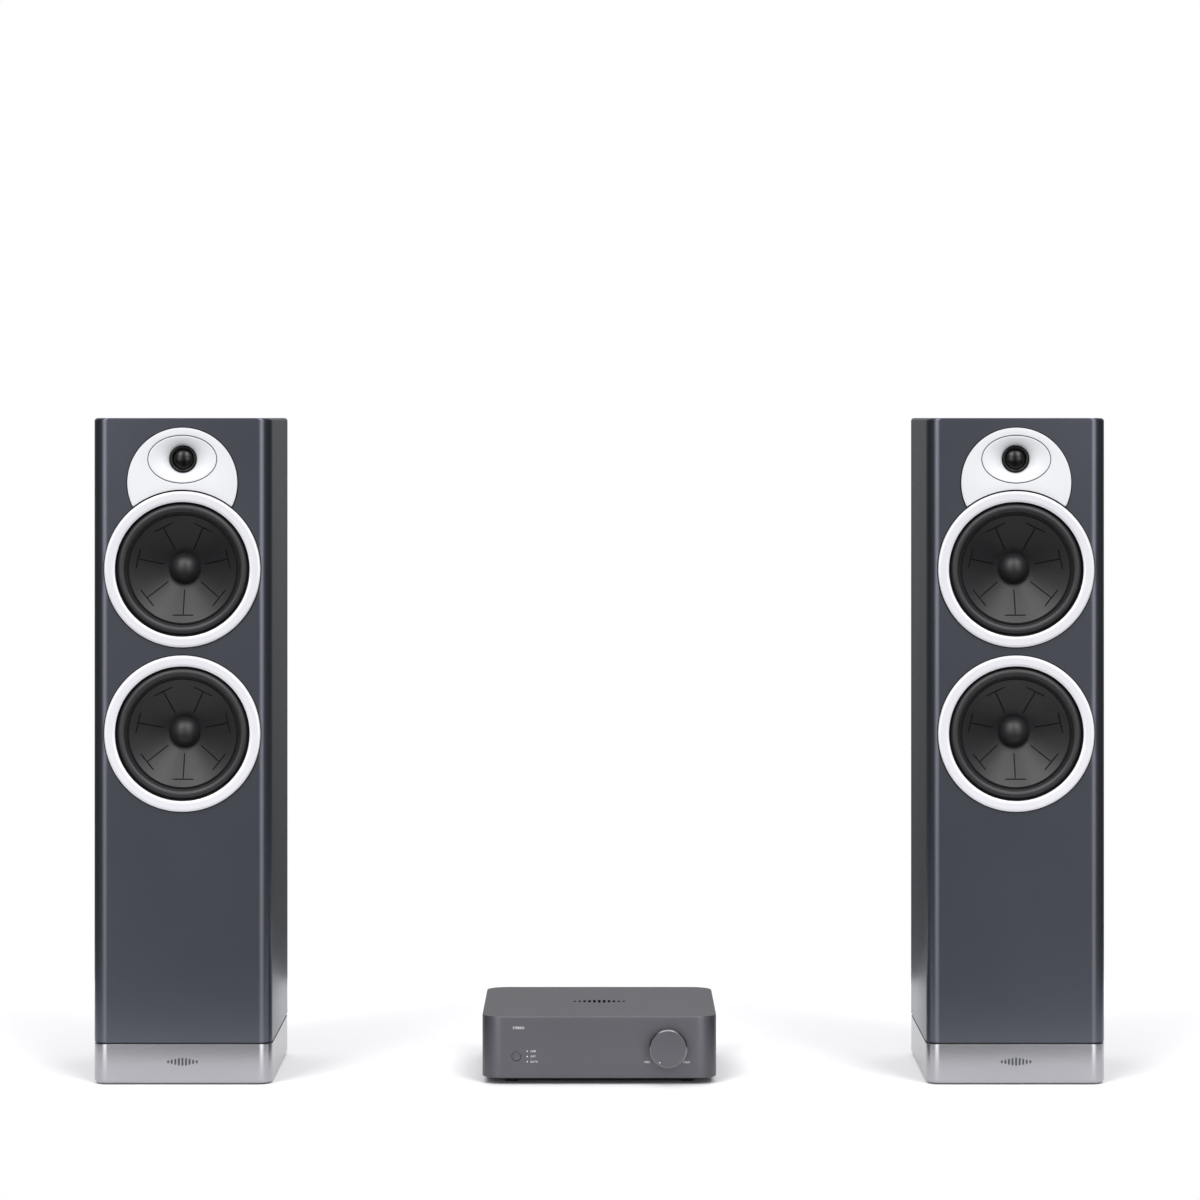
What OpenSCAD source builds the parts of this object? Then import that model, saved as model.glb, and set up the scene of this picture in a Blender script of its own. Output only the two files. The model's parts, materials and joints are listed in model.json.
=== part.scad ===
// A mini hi-fi set: a compact stereo amplifier between two floor-standing speakers.
// Millimetres, +Z up, fronts facing -Y. The origin is on the floor, in the middle of the set.

/* [Layout] */
// Distance from the middle of the set to the middle of each speaker
speaker_x = 515; // [400:5:700]

/* [Speaker cabinet] */
// Width of a speaker
speaker_w = 221; // [216:1:236]
// Height of a speaker above the floor
speaker_h = 824; // [822:1:900]
// Depth of a cabinet, from the baffle's face to the rear face
speaker_d = 280; // [260:5:330]
// Radius of the baffle's upright edges
baffle_edge_r = 18; // [8:1:20]
// Thickness of the front baffle
baffle_t = 22; // [21:1:26]
// Thickness of the cabinet's other boards
board_t = 15; // [12:1:18]
// Height of the plinth's top edge above the floor
plinth_h = 50.5; // [40:0.5:54]
// Height of the bass port's centre above the floor
port_z = 330; // [300:5:380]
// Radius of the bass port's bore
port_r = 25; // [20:1:28]
// Length of the bass port's tube
port_len = 120; // [80:5:140]
// Height of the terminal plate's centre above the floor
terminal_z = 150; // [120:5:180]

/* [Woofers] */
// Height of the lower woofer's centre above the floor
lower_woofer_z = 434; // [430:0.5:436]
// Distance between the two woofers' centres
woofer_pitch = 203; // [200:0.5:205]
// Outer radius of the trim ring
ring_r = 97; // [95:0.5:98]
// Height of the trim ring's crest above the baffle
ring_proud = 4.5; // [3:0.5:6]
// Outer radius of the cone's flange
cone_r = 71; // [70:0.2:71.2]
// Depth of the cone from its flange to its neck
cone_depth = 33; // [28:1:35]
// Radius of the dust cap
cap_r = 19.4; // [18:0.1:22]
// Height of the dust cap's dome
cap_h = 13; // [8:0.5:16]
// Outer radius of the voice coil's former
coil_r = 16.3; // [16:0.1:16.4]
// Travel of the cone each way from rest
cone_travel = 4; // [2:0.5:5]

/* [Tweeter] */
// Height of the tweeter's dome above the upper woofer's centre
dome_rise = 136; // [133:0.5:137]
// Height of the round plate's centre above the upper woofer's centre
plate_rise = 107; // [105:0.5:108]
// Radius of the round plate
plate_r = 68.5; // [66:0.5:72]
// Thickness of the round plate
plate_t = 3; // [2:0.5:4]
// Half of the waveguide's width
guide_a = 42.5; // [40:0.5:44]
// Half of the waveguide's height
guide_b = 29.5; // [27:0.5:30.5]
// Radius of the waveguide's throat
throat_r = 17.2; // [17.2:0.1:18]
// Radius of the dome
dome_r = 12.6; // [12:0.1:12.7]
// Height of the dome
dome_h = 4.6; // [3:0.1:6]

/* [Amplifier] */
// Width of the amplifier
amp_w = 290; // [280:2:320]
// Depth of the amplifier's case
amp_d = 290; // [270:5:290]
// Height of the amplifier above the floor
amp_h = 84.5; // [80:0.5:100]
// Height of the case's lower edge above the floor
case_z = 8.2; // [7.5:0.1:10]
// Radius of the case's upright corners
case_corner_r = 26; // [16:1:30]
// Thickness of the case's walls
case_t = 3; // [2.5:0.5:3]
// Radius of an amplifier foot
amp_foot_r = 7.5; // [6:0.5:10]

/* [Controls] */
// Distance of the knob's axis to the right of the middle
knob_x = 85; // [70:1:100]
// Height of the knob's axis above the floor
knob_z = 46.5; // [38:0.5:50]
// Radius of the volume knob
knob_r = 23.5; // [16:0.5:26]
// Length of the volume knob
knob_len = 14.5; // [13:0.5:20]
// Distance of the power button's axis to the left of the middle
button_x = 102.5; // [95:0.5:105]
// Radius of the power button
button_r = 5.5; // [4:0.1:6]
// Distance between two indicator lights
light_pitch = 6.5; // [5:0.5:7]

/* [Sockets] */
// Length of a binding post outside its panel
post_len = 22; // [20:1:24]
// Radius of the socket in the end of a binding post
banana_r = 2; // [2:0.05:2.1]
// Radius of a binding post's nut
post_nut_r = 7.5; // [6:0.5:8]
// Distance between the two posts of a pair
post_pitch = 19; // [17:1:24]
// Thickness of a speaker's terminal plate
terminal_t = 3.5; // [3:0.5:5]

/* [Hidden] */
SIDES = [["left", -1], ["right", 1]];

round_fn = 96;
glue_gap = 0.1;
slip = 0.3;

// Depths from the front faces. The set's box is centred on the origin.
knob_gap = 1.5;
knob_reach = knob_gap + knob_len;
panel_y = amp_d - 1;
rear_reach = post_len + max(speaker_d + terminal_t, panel_y);
face_y = -(rear_reach - knob_reach) / 2;

// Cabinet
pad_h = 1;
pad_r = 11;
pad_inset = 24;
shadow_gap = 1.5;
tongue_inset = 3;
cabinet_z = plinth_h + shadow_gap;
cabinet_h = speaker_h - cabinet_z;
rear_board_t = 18;
rear_board_y = speaker_d - rear_board_t;
inner_w = speaker_w - 2 * board_t;
port_wall = 3;
port_flange_r = port_r + 12;
port_flange_t = 2.5;
port_flare = 6;
upper_woofer_z = lower_woofer_z + woofer_pitch;
woofer_heights = [lower_woofer_z, upper_woofer_z];
dome_z = upper_woofer_z + dome_rise;
plate_z = upper_woofer_z + plate_rise;
terminal_w = 96;
terminal_h = 64;
boss_w = 70;
boss_h = 40;

// Woofer, as radii and depths behind the baffle's face
rebate_r = 92;
rebate_d = 6;
cutout_r = 78;
flange_d = 2.5;
lip_t = 1.2;
ring_in_r = 84;
roll_mid_r = 76.4;
roll_out = 6.6;
roll_in = 5.4;
cone_t = 1.2;
cone_edge_r = cone_r - 4.2;
neck_d = flange_d + cone_depth;
former_t = 0.5;
coil_t = 0.6;
plate_front_d = 51;
coil_end_d = 57;
coil_len = 9;
magnet_r = 46;
spider_d = 41.6;
spider_t = 0.9;
ledge_d = spider_d + spider_t;
ledge_r = 39;

// Tweeter, as radii and depths behind the baffle's face
guide_d = 12;
dome_base_d = 9.5;
guide_pocket_r = 31;
tweeter_hole_r = 29;

// Amplifier, from its own front face
case_top_t = 3.5;
base_plate_z = case_z + 0.8;
base_plate_t = 3;
skirt_z = 2.6;
skirt_top_inset = 16;
skirt_low_inset = 27;
foot_inset = 36;
screw_inset = 9.5;
screw_y = [60, 220];
screw_r = 1.5;
rear_cut_w = 240;
rear_cut_z = [13, 74];
panel_t = 2.5;
button_z = 35;
light_x = 89;
light_r = 0.8;
shaft_r = 3;
shaft_fit = 0.05;
bush_r = 3.9;
post_z = 44;
post_r = 3;
post_columns = [["right_black", -104], ["right_red", -104 + post_pitch],
                ["left_black", -60], ["left_red", -60 + post_pitch]];
rca_x = [-8, 10];
optical_x = 34;
usb_x = 58;
inlet_x = 98;
socket_z = 44;

// Helpers ---------------------------------------------------------------------------------

// Points of an arc about [cx, cy], from angle a0 to a1 in n steps
function arc(cx, cy, r, a0, a1, n) =
    [for (i = [0:n]) [cx + r * cos(a0 + (a1 - a0) * i / n), cy + r * sin(a0 + (a1 - a0) * i / n)]];

// Radius of the sphere whose cap has base radius a and height h
function cap_sphere(a, h) = (a * a + h * h) / (2 * h);

// Moves a piece drawn in a speaker's own frame to that speaker. side is -1 or 1
module at_speaker(side) translate([side * speaker_x, face_y, 0]) children();

module at_both_speakers() for (side = [-1, 1]) at_speaker(side) children();

// Moves a piece drawn in the amplifier's own frame to the amplifier
module at_amp() translate([0, face_y, 0]) children();

// Stands a shape on its edge: its x stays, its y points up and its z points back
module facing() rotate([90, 0, 0]) mirror([0, 0, 1]) children();

// A profile of [radius, depth] points, turned about a driver's axis at height z
module turned(z) translate([0, 0, z]) facing() rotate_extrude($fn = round_fn) children();

module rod(r, h) cylinder(r = r, h = h, $fn = round_fn);

module rounded_plan(w, d, r) {
    translate([-w / 2 + r, 0]) square([w - 2 * r, d]);
    translate([-w / 2, r]) square([w, d - 2 * r]);
    for (x = [-1, 1], y = [r, d - r])
        translate([x * (w / 2 - r), y]) circle(r, $fn = round_fn);
}

// A box centred in x and z, which starts at depth y
module block(x, y, z, w, d, h) translate([x - w / 2, y, z - h / 2]) cube([w, d, h]);

// Speaker cabinet -------------------------------------------------------------------------

// Plan of the cabinet with its two rounded front corners, moved in by inset
module speaker_plan(inset = 0, depth = speaker_d) {
    r = baffle_edge_r - inset;
    w = speaker_w - 2 * inset;
    translate([-w / 2 + r, inset]) square([w - 2 * r, depth - 2 * inset]);
    translate([-w / 2, inset + r]) square([w, depth - 2 * inset - r]);
    for (x = [-1, 1]) translate([x * (w / 2 - r), inset + r]) circle(r, $fn = round_fn);
}

// Five glued boards: two sides, top, bottom and the rear board with its two holes
module cabinet() color("#3f434b") {
    shell_y = baffle_t + glue_gap;
    board_w = inner_w - 2 * glue_gap;
    for (x = [-1, 1])
        translate([x * (speaker_w - board_t) / 2 - board_t / 2, shell_y, cabinet_z])
            cube([board_t, speaker_d - shell_y, cabinet_h]);
    for (z = [cabinet_z, speaker_h - board_t])
        translate([-board_w / 2, shell_y, z])
            cube([board_w, rear_board_y - glue_gap - shell_y, board_t]);
    difference() {
        translate([-board_w / 2, rear_board_y, cabinet_z])
            cube([board_w, rear_board_t, cabinet_h]);
        translate([0, rear_board_y - 1, port_z]) facing()
            rod(port_r + port_wall + glue_gap, rear_board_t + 2);
        block(0, rear_board_y - 1, terminal_z,
              boss_w + 2 * glue_gap, rear_board_t + 2, boss_h + 2 * glue_gap);
    }
}

module front_baffle() color("#474b54") difference() {
    translate([0, 0, cabinet_z]) linear_extrude(cabinet_h) intersection() {
        speaker_plan();
        translate([-speaker_w / 2, 0]) square([speaker_w, baffle_t]);
    }
    for (z = woofer_heights) translate([0, 0, z]) facing() {
        translate([0, 0, -1]) rod(rebate_r, rebate_d + 1);
        rod(cutout_r, baffle_t + 1);
    }
    translate([0, 0, dome_z]) facing() {
        translate([0, 0, -1]) linear_extrude(guide_d + 1.5) {
            side = guide_a + 0.5 - guide_pocket_r;
            square([2 * side, 2 * guide_pocket_r], center = true);
            for (x = [-side, side]) translate([x, 0]) circle(guide_pocket_r, $fn = round_fn);
        }
        rod(tweeter_hole_r, baffle_t + 1);
    }
}

// Lacquered plinth, with a tongue on top that leaves a shadow gap under the cabinet
module base_plinth() color("#b4b4b9") {
    translate([0, 0, pad_h]) linear_extrude(plinth_h - pad_h) speaker_plan();
    translate([0, 0, plinth_h]) linear_extrude(shadow_gap) speaker_plan(tongue_inset);
}

module foot_pads() color("#1c1c1e")
    for (x = [-1, 1], y = [pad_inset, speaker_d - pad_inset])
        translate([x * (speaker_w / 2 - pad_inset), y, 0]) rod(pad_r, pad_h);

// Flanged tube of the bass port, flared at its mouth
module port_tube() color("#232325") turned(port_z) {
    inner_d = speaker_d - port_len;
    outer_r = port_r + port_wall;
    face_d = speaker_d + port_flange_t;
    polygon(concat(
        [[port_r, inner_d], [outer_r, inner_d], [outer_r, speaker_d],
         [port_flange_r, speaker_d], [port_flange_r, face_d - 1], [port_flange_r - 1, face_d]],
        arc(port_r + port_flare, face_d - port_flare, port_flare, 90, 180, 8)
    ));
}

// Two boards across the cabinet, each with a window for the air
module braces() color("#b59a6d") {
    depth = rear_board_y - baffle_t - 2 * slip;
    window = [inner_w - 70, depth - 80];
    for (z = [lower_woofer_z + woofer_pitch / 2, (port_z + terminal_z) / 2])
        translate([0, baffle_t + slip, z - board_t / 2]) difference() {
            translate([-inner_w / 2 + slip, 0, 0])
                cube([inner_w - 2 * slip, depth, board_t]);
            translate([-window[0] / 2, (depth - window[1]) / 2, -1])
                cube([window[0], window[1], board_t + 2]);
        }
}

// Crossover: a board on the bottom board, with two coils, three capacitors and a resistor
module crossover() color("#3d6b46") {
    board = [120, 150, 1.6];
    board_z = cabinet_z + board_t + 6;
    top = board_z + board[2];
    translate([-board[0] / 2, 60, board_z]) cube(board);
    for (x = [-50, 50], y = [68, 202])
        translate([x, y, cabinet_z + board_t]) rod(3, board_z - cabinet_z - board_t);
    for (y = [95, 165]) translate([-30, y, top]) difference() {
        rod(22, 24);
        translate([0, 0, -1]) rod(9, 26);
    }
    for (y = [85, 115, 145]) translate([18, y, top + 9]) rotate([0, 90, 0]) rod(9, 36);
    translate([18, 172, top]) cube([36, 9, 9]);
}

module terminal_plate() color("#202022") difference() {
    union() {
        block(0, speaker_d, terminal_z, terminal_w, terminal_t, terminal_h);
        block(0, rear_board_y, terminal_z, boss_w, rear_board_t, boss_h);
    }
    for (x = [-1, 1]) translate([x * post_pitch / 2, rear_board_y - 1, terminal_z]) facing()
        rod(post_r + glue_gap, rear_board_t + terminal_t + 2);
}

// Binding posts ---------------------------------------------------------------------------

// A threaded post standing on a panel: shoulder, wire hole, socket in its end and a lock nut
// behind the panel. behind is the panel's thickness
module post_stud(behind) color("#c9a24a") facing() difference() {
    lock_t = 3;
    tail = behind + lock_t + 8;
    shoulder_t = 2.5;
    socket_len = 14;
    union() {
        translate([0, 0, -tail]) rod(post_r, tail + post_len);
        rod(post_nut_r - 0.5, shoulder_t);
        translate([0, 0, -behind - lock_t]) cylinder(r = 5.5, h = lock_t, $fn = 6);
    }
    translate([0, 0, post_len - socket_len]) rod(banana_r, socket_len + 1);
    translate([-post_nut_r, 0, 5.2]) rotate([0, 90, 0]) rod(1.4, 2 * post_nut_r);
}

module post_nut(shade) color(shade) facing() difference() {
    start = 3;
    edge = 0.8;
    end = post_len - 2;
    rotate_extrude($fn = round_fn)
        polygon([[0, start], [post_nut_r, start], [post_nut_r, end - edge],
                 [post_nut_r - edge, end], [0, end]]);
    translate([0, 0, start - 1]) rod(post_r + shaft_fit, end - start + 2);
}

// x is -1 for the black post and 1 for the red one
module at_speaker_post(x)
    translate([x * post_pitch / 2, speaker_d + terminal_t, terminal_z]) children();

module at_amp_post(column) translate([column[1], panel_y, post_z]) children();

// Woofer ----------------------------------------------------------------------------------

module trim_ring(z) color("#e6e6ec") turned(z) {
    edge = 1.6;
    tongue_r = rebate_r - 0.4;
    seat = flange_d - lip_t;
    polygon([
        [ring_r, 0], [ring_r, -edge], [ring_r - 1.2, -edge - 1], [ring_in_r + 4, -ring_proud],
        [ring_in_r + 1.4, -ring_proud], [ring_in_r, 1.2 - ring_proud], [ring_in_r, seat],
        [tongue_r, seat], [tongue_r, 0]
    ]);
}

// Rubber half roll with a flat lip each side of it
module surround(z) color("#2a2a2c") turned(z) {
    lip_out_r = rebate_r - 2;
    lip_in_r = cone_edge_r;
    difference() {
        union() {
            intersection() {
                translate([roll_mid_r, flange_d]) circle(roll_out, $fn = round_fn);
                translate([lip_in_r, flange_d - 2 * roll_out])
                    square([lip_out_r - lip_in_r, 2 * roll_out]);
            }
            translate([lip_in_r, flange_d - lip_t]) square([lip_out_r - lip_in_r, lip_t]);
        }
        translate([roll_mid_r, flange_d]) circle(roll_in, $fn = round_fn);
    }
}

// Moving part of a woofer: cone with its flange and former, voice coil and dust cap
module cone(z) color("#303234") {
    slope = cone_depth / (cone_edge_r - coil_r);
    bore_r = coil_r - former_t;
    turned(z) polygon([
        [cone_r, flange_d], [cone_edge_r, flange_d],
        [bore_r, flange_d + (cone_edge_r - bore_r) * slope],
        [bore_r, coil_end_d], [coil_r, coil_end_d], [coil_r, neck_d + cone_t],
        [cone_edge_r + 0.8, flange_d + cone_t], [cone_r, flange_d + cone_t]
    ]);
    turned(z) translate([coil_r - 0.1, coil_end_d - coil_len])
        square([coil_t + 0.1, coil_len]);
    cap_base_d = flange_d + (cone_edge_r - cap_r) * slope + 0.3;
    ball_r = cap_sphere(cap_r, cap_h);
    reach = asin(cap_r / ball_r);
    ball_d = cap_base_d - cap_h + ball_r;
    turned(z) polygon(concat(
        arc(0, ball_d, ball_r, -90, reach - 90, 14),
        arc(0, ball_d, ball_r - 0.9, reach - 90, -90, 14)
    ));
}

// Cast frame with six windows
module basket(z) color("#55575a") translate([0, 0, z]) facing() difference() {
    out_r = rebate_r - 0.4;
    floor_r = 47.5;
    rotate_extrude($fn = round_fn) polygon([
        [cone_r + 1, flange_d], [out_r, flange_d], [out_r, rebate_d], [cutout_r - 1, rebate_d],
        [floor_r, ledge_d + 2], [floor_r, plate_front_d], [21, plate_front_d],
        [21, plate_front_d - 2.5], [floor_r - 3, plate_front_d - 2.5],
        [floor_r - 3, ledge_d + 2], [ledge_r, ledge_d + 2], [ledge_r, ledge_d],
        [floor_r - 2, ledge_d],
        [cutout_r - 4, rebate_d - 1], [cone_r + 1, rebate_d - 1]
    ]);
    for (a = [30:60:330]) rotate([0, 0, a]) translate([60, 0, 25])
        cube([50, 34, 24], center = true);
}

// Front plate, ring magnet and back plate with its vented pole
module motor(z) {
    gap_r = coil_r + coil_t + 0.8;
    magnet_d = [coil_end_d + glue_gap, 73];
    back_d = [magnet_d[1] + glue_gap, 79];
    pole_r = coil_r - former_t - 0.7;
    vent_r = 4;
    color("#8d9196") turned(z) translate([gap_r, plate_front_d])
        square([44 - gap_r, coil_end_d - plate_front_d]);
    color("#2b2b2d") turned(z) translate([25, magnet_d[0]])
        square([magnet_r - 25, magnet_d[1] - magnet_d[0]]);
    color("#8d9196") turned(z) polygon([
        [vent_r, plate_front_d], [pole_r, plate_front_d], [pole_r, back_d[0]],
        [44, back_d[0]], [44, back_d[1]], [vent_r, back_d[1]]
    ]);
}

// Corrugated suspension disc between the basket's ledge and the former
module spider(z) color("#c8a45a") turned(z) {
    in_r = coil_r + 0.4;
    flat_r = ledge_r - 1;
    wave_h = 1;
    waves = 6;
    steps = 36;
    wave = [for (i = [0:steps]) [in_r + (flat_r - in_r) * i / steps,
                                 spider_d - wave_h * sin(360 * waves * i / steps)]];
    rim = [ledge_r + 5, spider_d];
    back = [0, spider_t];
    polygon(concat(wave, [rim, rim + back], [for (i = [steps:-1:0]) wave[i] + back]));
}

// Tweeter ---------------------------------------------------------------------------------

// Round plate, cut away around the upper woofer's trim ring and for the waveguide
module tweeter_plate() color("#eeeef3") translate([0, 0, dome_z]) facing()
    translate([0, 0, -plate_t]) linear_extrude(plate_t) difference() {
        translate([0, plate_z - dome_z]) circle(plate_r, $fn = round_fn);
        translate([0, upper_woofer_z - dome_z]) circle(ring_r + 0.8, $fn = round_fn);
        scale([guide_a + 0.5, guide_b + 0.5]) circle(1, $fn = round_fn);
    }

// Oval horn, which narrows from its flush rim to the round throat
module tweeter_waveguide() color("#f4f4f8") translate([0, 0, dome_z]) facing() difference() {
    rim = 1.2;
    translate([0, 0, -plate_t]) linear_extrude(plate_t + guide_d)
        scale([guide_a, guide_b]) circle(1, $fn = 64);
    hull() {
        translate([0, 0, -plate_t - 0.1]) linear_extrude(0.1)
            scale([guide_a - rim, guide_b - rim]) circle(1, $fn = 48);
        translate([0, 0, dome_base_d - 2]) cylinder(r = throat_r, h = 0.1, $fn = 48);
    }
    rod(throat_r, guide_d + 1);
}

// Moving part of the tweeter: dome, its half roll and the voice coil's former
module tweeter_dome() color("#1d1d1f") {
    t = 0.5;
    roll_r = (throat_r - slip + dome_r) / 2;
    roll_out_r = (throat_r - slip - dome_r) / 2;
    ball_r = cap_sphere(dome_r, dome_h);
    reach = asin(dome_r / ball_r);
    ball_d = dome_base_d - dome_h + ball_r;
    turned(dome_z) polygon(concat(
        arc(0, ball_d, ball_r, -90, reach - 90, 12),
        arc(roll_r, dome_base_d, roll_out_r, 180, 360, 12),
        arc(roll_r, dome_base_d, roll_out_r - t, 360, 180, 12),
        [[dome_r + 0.1, dome_base_d + 7], [dome_r - t, dome_base_d + 7],
         [dome_r - t, dome_base_d + 0.2]],
        arc(0, ball_d, ball_r - t, reach - 90, -90, 12)
    ));
}

// Tweeter motor: front plate, then a steel cup with its pole
module tweeter_motor() color("#6f7276") {
    plate_d = guide_d + 0.2;
    cup_d = [plate_d + 3 + glue_gap, 38];
    turned(dome_z) translate([dome_r + 1, plate_d])
        square([tweeter_hole_r - 2 - dome_r, 3]);
    turned(dome_z) polygon([
        [0, plate_d + 1.8], [dome_r - 1.1, plate_d + 1.8], [dome_r - 1.1, 32], [20, 32],
        [20, cup_d[0]], [24, cup_d[0]], [24, cup_d[1]], [0, cup_d[1]]
    ]);
}

// Amplifier -------------------------------------------------------------------------------

module case_hole(x, z, r) translate([x, -1, z]) facing() rod(r, case_t + 2);

// One shell: top, front, sides and a rear wall with the socket panel's opening
module amp_case() color("#6c6b70") {
    inner_r = case_corner_r - case_t;
    boss = [11, 10, 28];
    difference() {
        translate([0, 0, case_z]) linear_extrude(amp_h - case_z)
            rounded_plan(amp_w, amp_d, case_corner_r);
        translate([0, case_t, case_z - 1]) linear_extrude(amp_h - case_z - case_top_t + 1)
            rounded_plan(amp_w - 2 * case_t, amp_d - 2 * case_t, inner_r);
        case_hole(knob_x, knob_z, bush_r + glue_gap);
        case_hole(-button_x, button_z, button_r + 0.4);
        for (i = [-1:1]) case_hole(-light_x, button_z + i * light_pitch, light_r + 0.1);
        translate([-rear_cut_w / 2, amp_d - case_t - 1, rear_cut_z[0]])
            cube([rear_cut_w, case_t + 2, rear_cut_z[1] - rear_cut_z[0]]);
    }
    for (side = [-1, 1], y = screw_y) difference() {
        block(side * (amp_w / 2 - case_t - boss[0] / 2 + 0.5), y - boss[1] / 2,
              base_plate_z + base_plate_t + boss[2] / 2, boss[0], boss[1], boss[2]);
        translate([side * (amp_w / 2 - screw_inset), y, base_plate_z]) rod(screw_r + 0.1, 12);
    }
}

// Bottom plate with a tapered skirt under it, both slotted for air
module amp_base() color("#1a1a1c") {
    fit = case_t + slip;
    slots = 12;
    slot_pitch = 14;
    difference() {
        union() {
            translate([0, fit, base_plate_z]) linear_extrude(base_plate_t)
                rounded_plan(amp_w - 2 * fit, amp_d - 2 * fit, case_corner_r - fit);
            hull() {
                translate([0, skirt_top_inset, base_plate_z - 0.1]) linear_extrude(0.2)
                    rounded_plan(amp_w - 2 * skirt_top_inset, amp_d - 2 * skirt_top_inset, 12,
                                 $fn = 32);
                translate([0, skirt_low_inset, skirt_z]) linear_extrude(0.1)
                    rounded_plan(amp_w - 2 * skirt_low_inset, amp_d - 2 * skirt_low_inset, 8,
                                 $fn = 32);
            }
        }
        for (i = [0:slots - 1], y = [90, 160])
            translate([(i - (slots - 1) / 2) * slot_pitch - 1.25, y, 0]) cube([2.5, 36, 20]);
        for (side = [-1, 1], y = screw_y)
            translate([side * (amp_w / 2 - screw_inset), y, 0]) rod(screw_r + 0.2, 20);
    }
}

module amp_feet() color("#141415")
    for (x = [-1, 1], y = [foot_inset, amp_d - foot_inset])
        translate([x * (amp_w / 2 - foot_inset), y, 0]) difference() {
            rod(amp_foot_r, skirt_z);
            translate([0, 0, -1]) rod(amp_foot_r - 3, 1.8);
        }

module amp_case_screws() color("#9a9a9e") {
    head_h = 1.4;
    for (side = [-1, 1], y = screw_y)
        translate([side * (amp_w / 2 - screw_inset), y, base_plate_z - head_h]) difference() {
            union() {
                rod(2.8, head_h);
                rod(screw_r, head_h + base_plate_t + 7);
            }
            translate([0, 0, -1]) cylinder(r = 1.3, h = 1.8, $fn = 6);
        }
}

// Panel in the rear wall's opening, with a hole for each socket
module amp_rear_panel() color("#26262a") difference() {
    fit = 0.2;
    block(0, panel_y - panel_t, (rear_cut_z[0] + rear_cut_z[1]) / 2,
          rear_cut_w - 2 * fit, panel_t, rear_cut_z[1] - rear_cut_z[0] - 2 * fit);
    for (column = post_columns) at_amp_post(column) translate([0, -panel_t - 1, 0]) facing()
        rod(post_r + glue_gap, panel_t + 2);
    for (x = rca_x) translate([x, panel_y - panel_t - 1, socket_z]) facing()
        rod(5.1, panel_t + 2);
    block(optical_x, panel_y - panel_t - 1, socket_z, 12.2, panel_t + 2, 12.2);
    block(usb_x, panel_y - panel_t - 1, socket_z, 11.2, panel_t + 2, 5.4);
    block(inlet_x, panel_y - panel_t - 1, socket_z, 24.2, panel_t + 2, 17.2);
}

module at_knob() translate([knob_x, 0, knob_z]) children();

module volume_knob() color("#6a696e") at_knob() facing() difference() {
    edge = 0.9;
    rotate_extrude($fn = round_fn) polygon([
        [0, -knob_reach], [knob_r - edge, -knob_reach], [knob_r, edge - knob_reach],
        [knob_r, -knob_gap], [0, -knob_gap]
    ]);
    translate([0, 0, -knob_gap - 11]) rod(shaft_r + 0.02, 12);
    translate([0, 0, -knob_gap - 5]) difference() {
        rod(knob_r - 3, 6);
        translate([0, 0, -1]) rod(shaft_r + 4, 8);
    }
}

module volume_shaft() color("#b7b8bc") at_knob() facing()
    translate([0, 0, -knob_gap - 11]) rod(shaft_r, 25);

// Potentiometer: a threaded bush through the case's front and a body behind it
module volume_potentiometer() color("#77787c") at_knob() difference() {
    union() {
        translate([0, -1, 0]) facing() rod(bush_r, 7);
        block(0, case_t + 0.2, 0, 17, 12, 17);
    }
    translate([0, -2, 0]) facing() rod(shaft_r + shaft_fit, 16);
}

// Push button flush with the case, held behind it by its flange
module power_button() color("#68676c") translate([-button_x, 0, button_z]) facing() {
    rod(button_r, 4.6);
    translate([0, 0, case_t + slip]) rod(button_r + 1.3, 1.3);
    translate([0, 0, 4]) rod(1.5, 3.6);
}

module indicator_lights() color("#f2f2f2")
    for (i = [-1:1]) translate([-light_x, 0, button_z + i * light_pitch]) facing()
        rod(light_r, 9);

// Small board behind the button, with its switch and the three light sources
module front_board() color("#2f6140") {
    board_y = 11;
    block(-(button_x + light_x) / 2, board_y, button_z, 44, 1.6, 26);
    block(-button_x, board_y - 2, button_z, 6, 2.1, 6);
    for (i = [-1:1]) block(-light_x, board_y - 1.8, button_z + i * light_pitch, 3, 1.9, 3);
}

// Main board on four pillars: two output inductors per channel, chips and small capacitors
module main_board() color("#2f6140") {
    z = 22;
    top = z + 1.6;
    pillar_z = base_plate_z + base_plate_t;
    translate([-115, 140, z]) cube([230, 118, 1.6]);
    for (x = [-108, 108], y = [147, 251]) translate([x, y, pillar_z]) rod(3, z - pillar_z);
    for (x = [-100, -74, -48, -22], y = [205]) translate([x, y, top]) rod(9, 14);
    for (x = [-96, -60, -24]) block(x, 226, top + 1, 14, 14, 2);
    for (x = [20:16:84]) translate([x, 170, top]) rod(5, 12);
    for (x = [30, 70]) block(x, 200, top + 0.8, 18, 18, 1.6);
    block(90, 235, top + 5, 30, 16, 10);
}

// Mains supply: board, transformer, two large capacitors and a filter choke
module power_supply() color("#3a6a48") {
    z = 22;
    top = z + 1.6;
    pillar_z = base_plate_z + base_plate_t;
    translate([-112, 34, z]) cube([170, 96, 1.6]);
    for (x = [-105, 51], y = [41, 123]) translate([x, y, pillar_z]) rod(3, z - pillar_z);
    block(-60, 60, top + 16, 46, 42, 32);
    for (x = [0, 30]) translate([x, 62, top]) rod(12.5, 40);
    for (x = [0, 30]) translate([x, 100, top]) rod(9, 22);
    block(-98, 70, top + 8, 18, 24, 16);
}

// Finned sink on the main board's output stage
module heat_sink() color("#9b9da1") {
    base_z = 26;
    fins = 9;
    translate([-112, 160, base_z]) cube([104, 30, 4]);
    for (i = [0:fins - 1]) translate([-112 + i * 12.75, 160, base_z + 3.9]) cube([2, 30, 30]);
}

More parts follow.
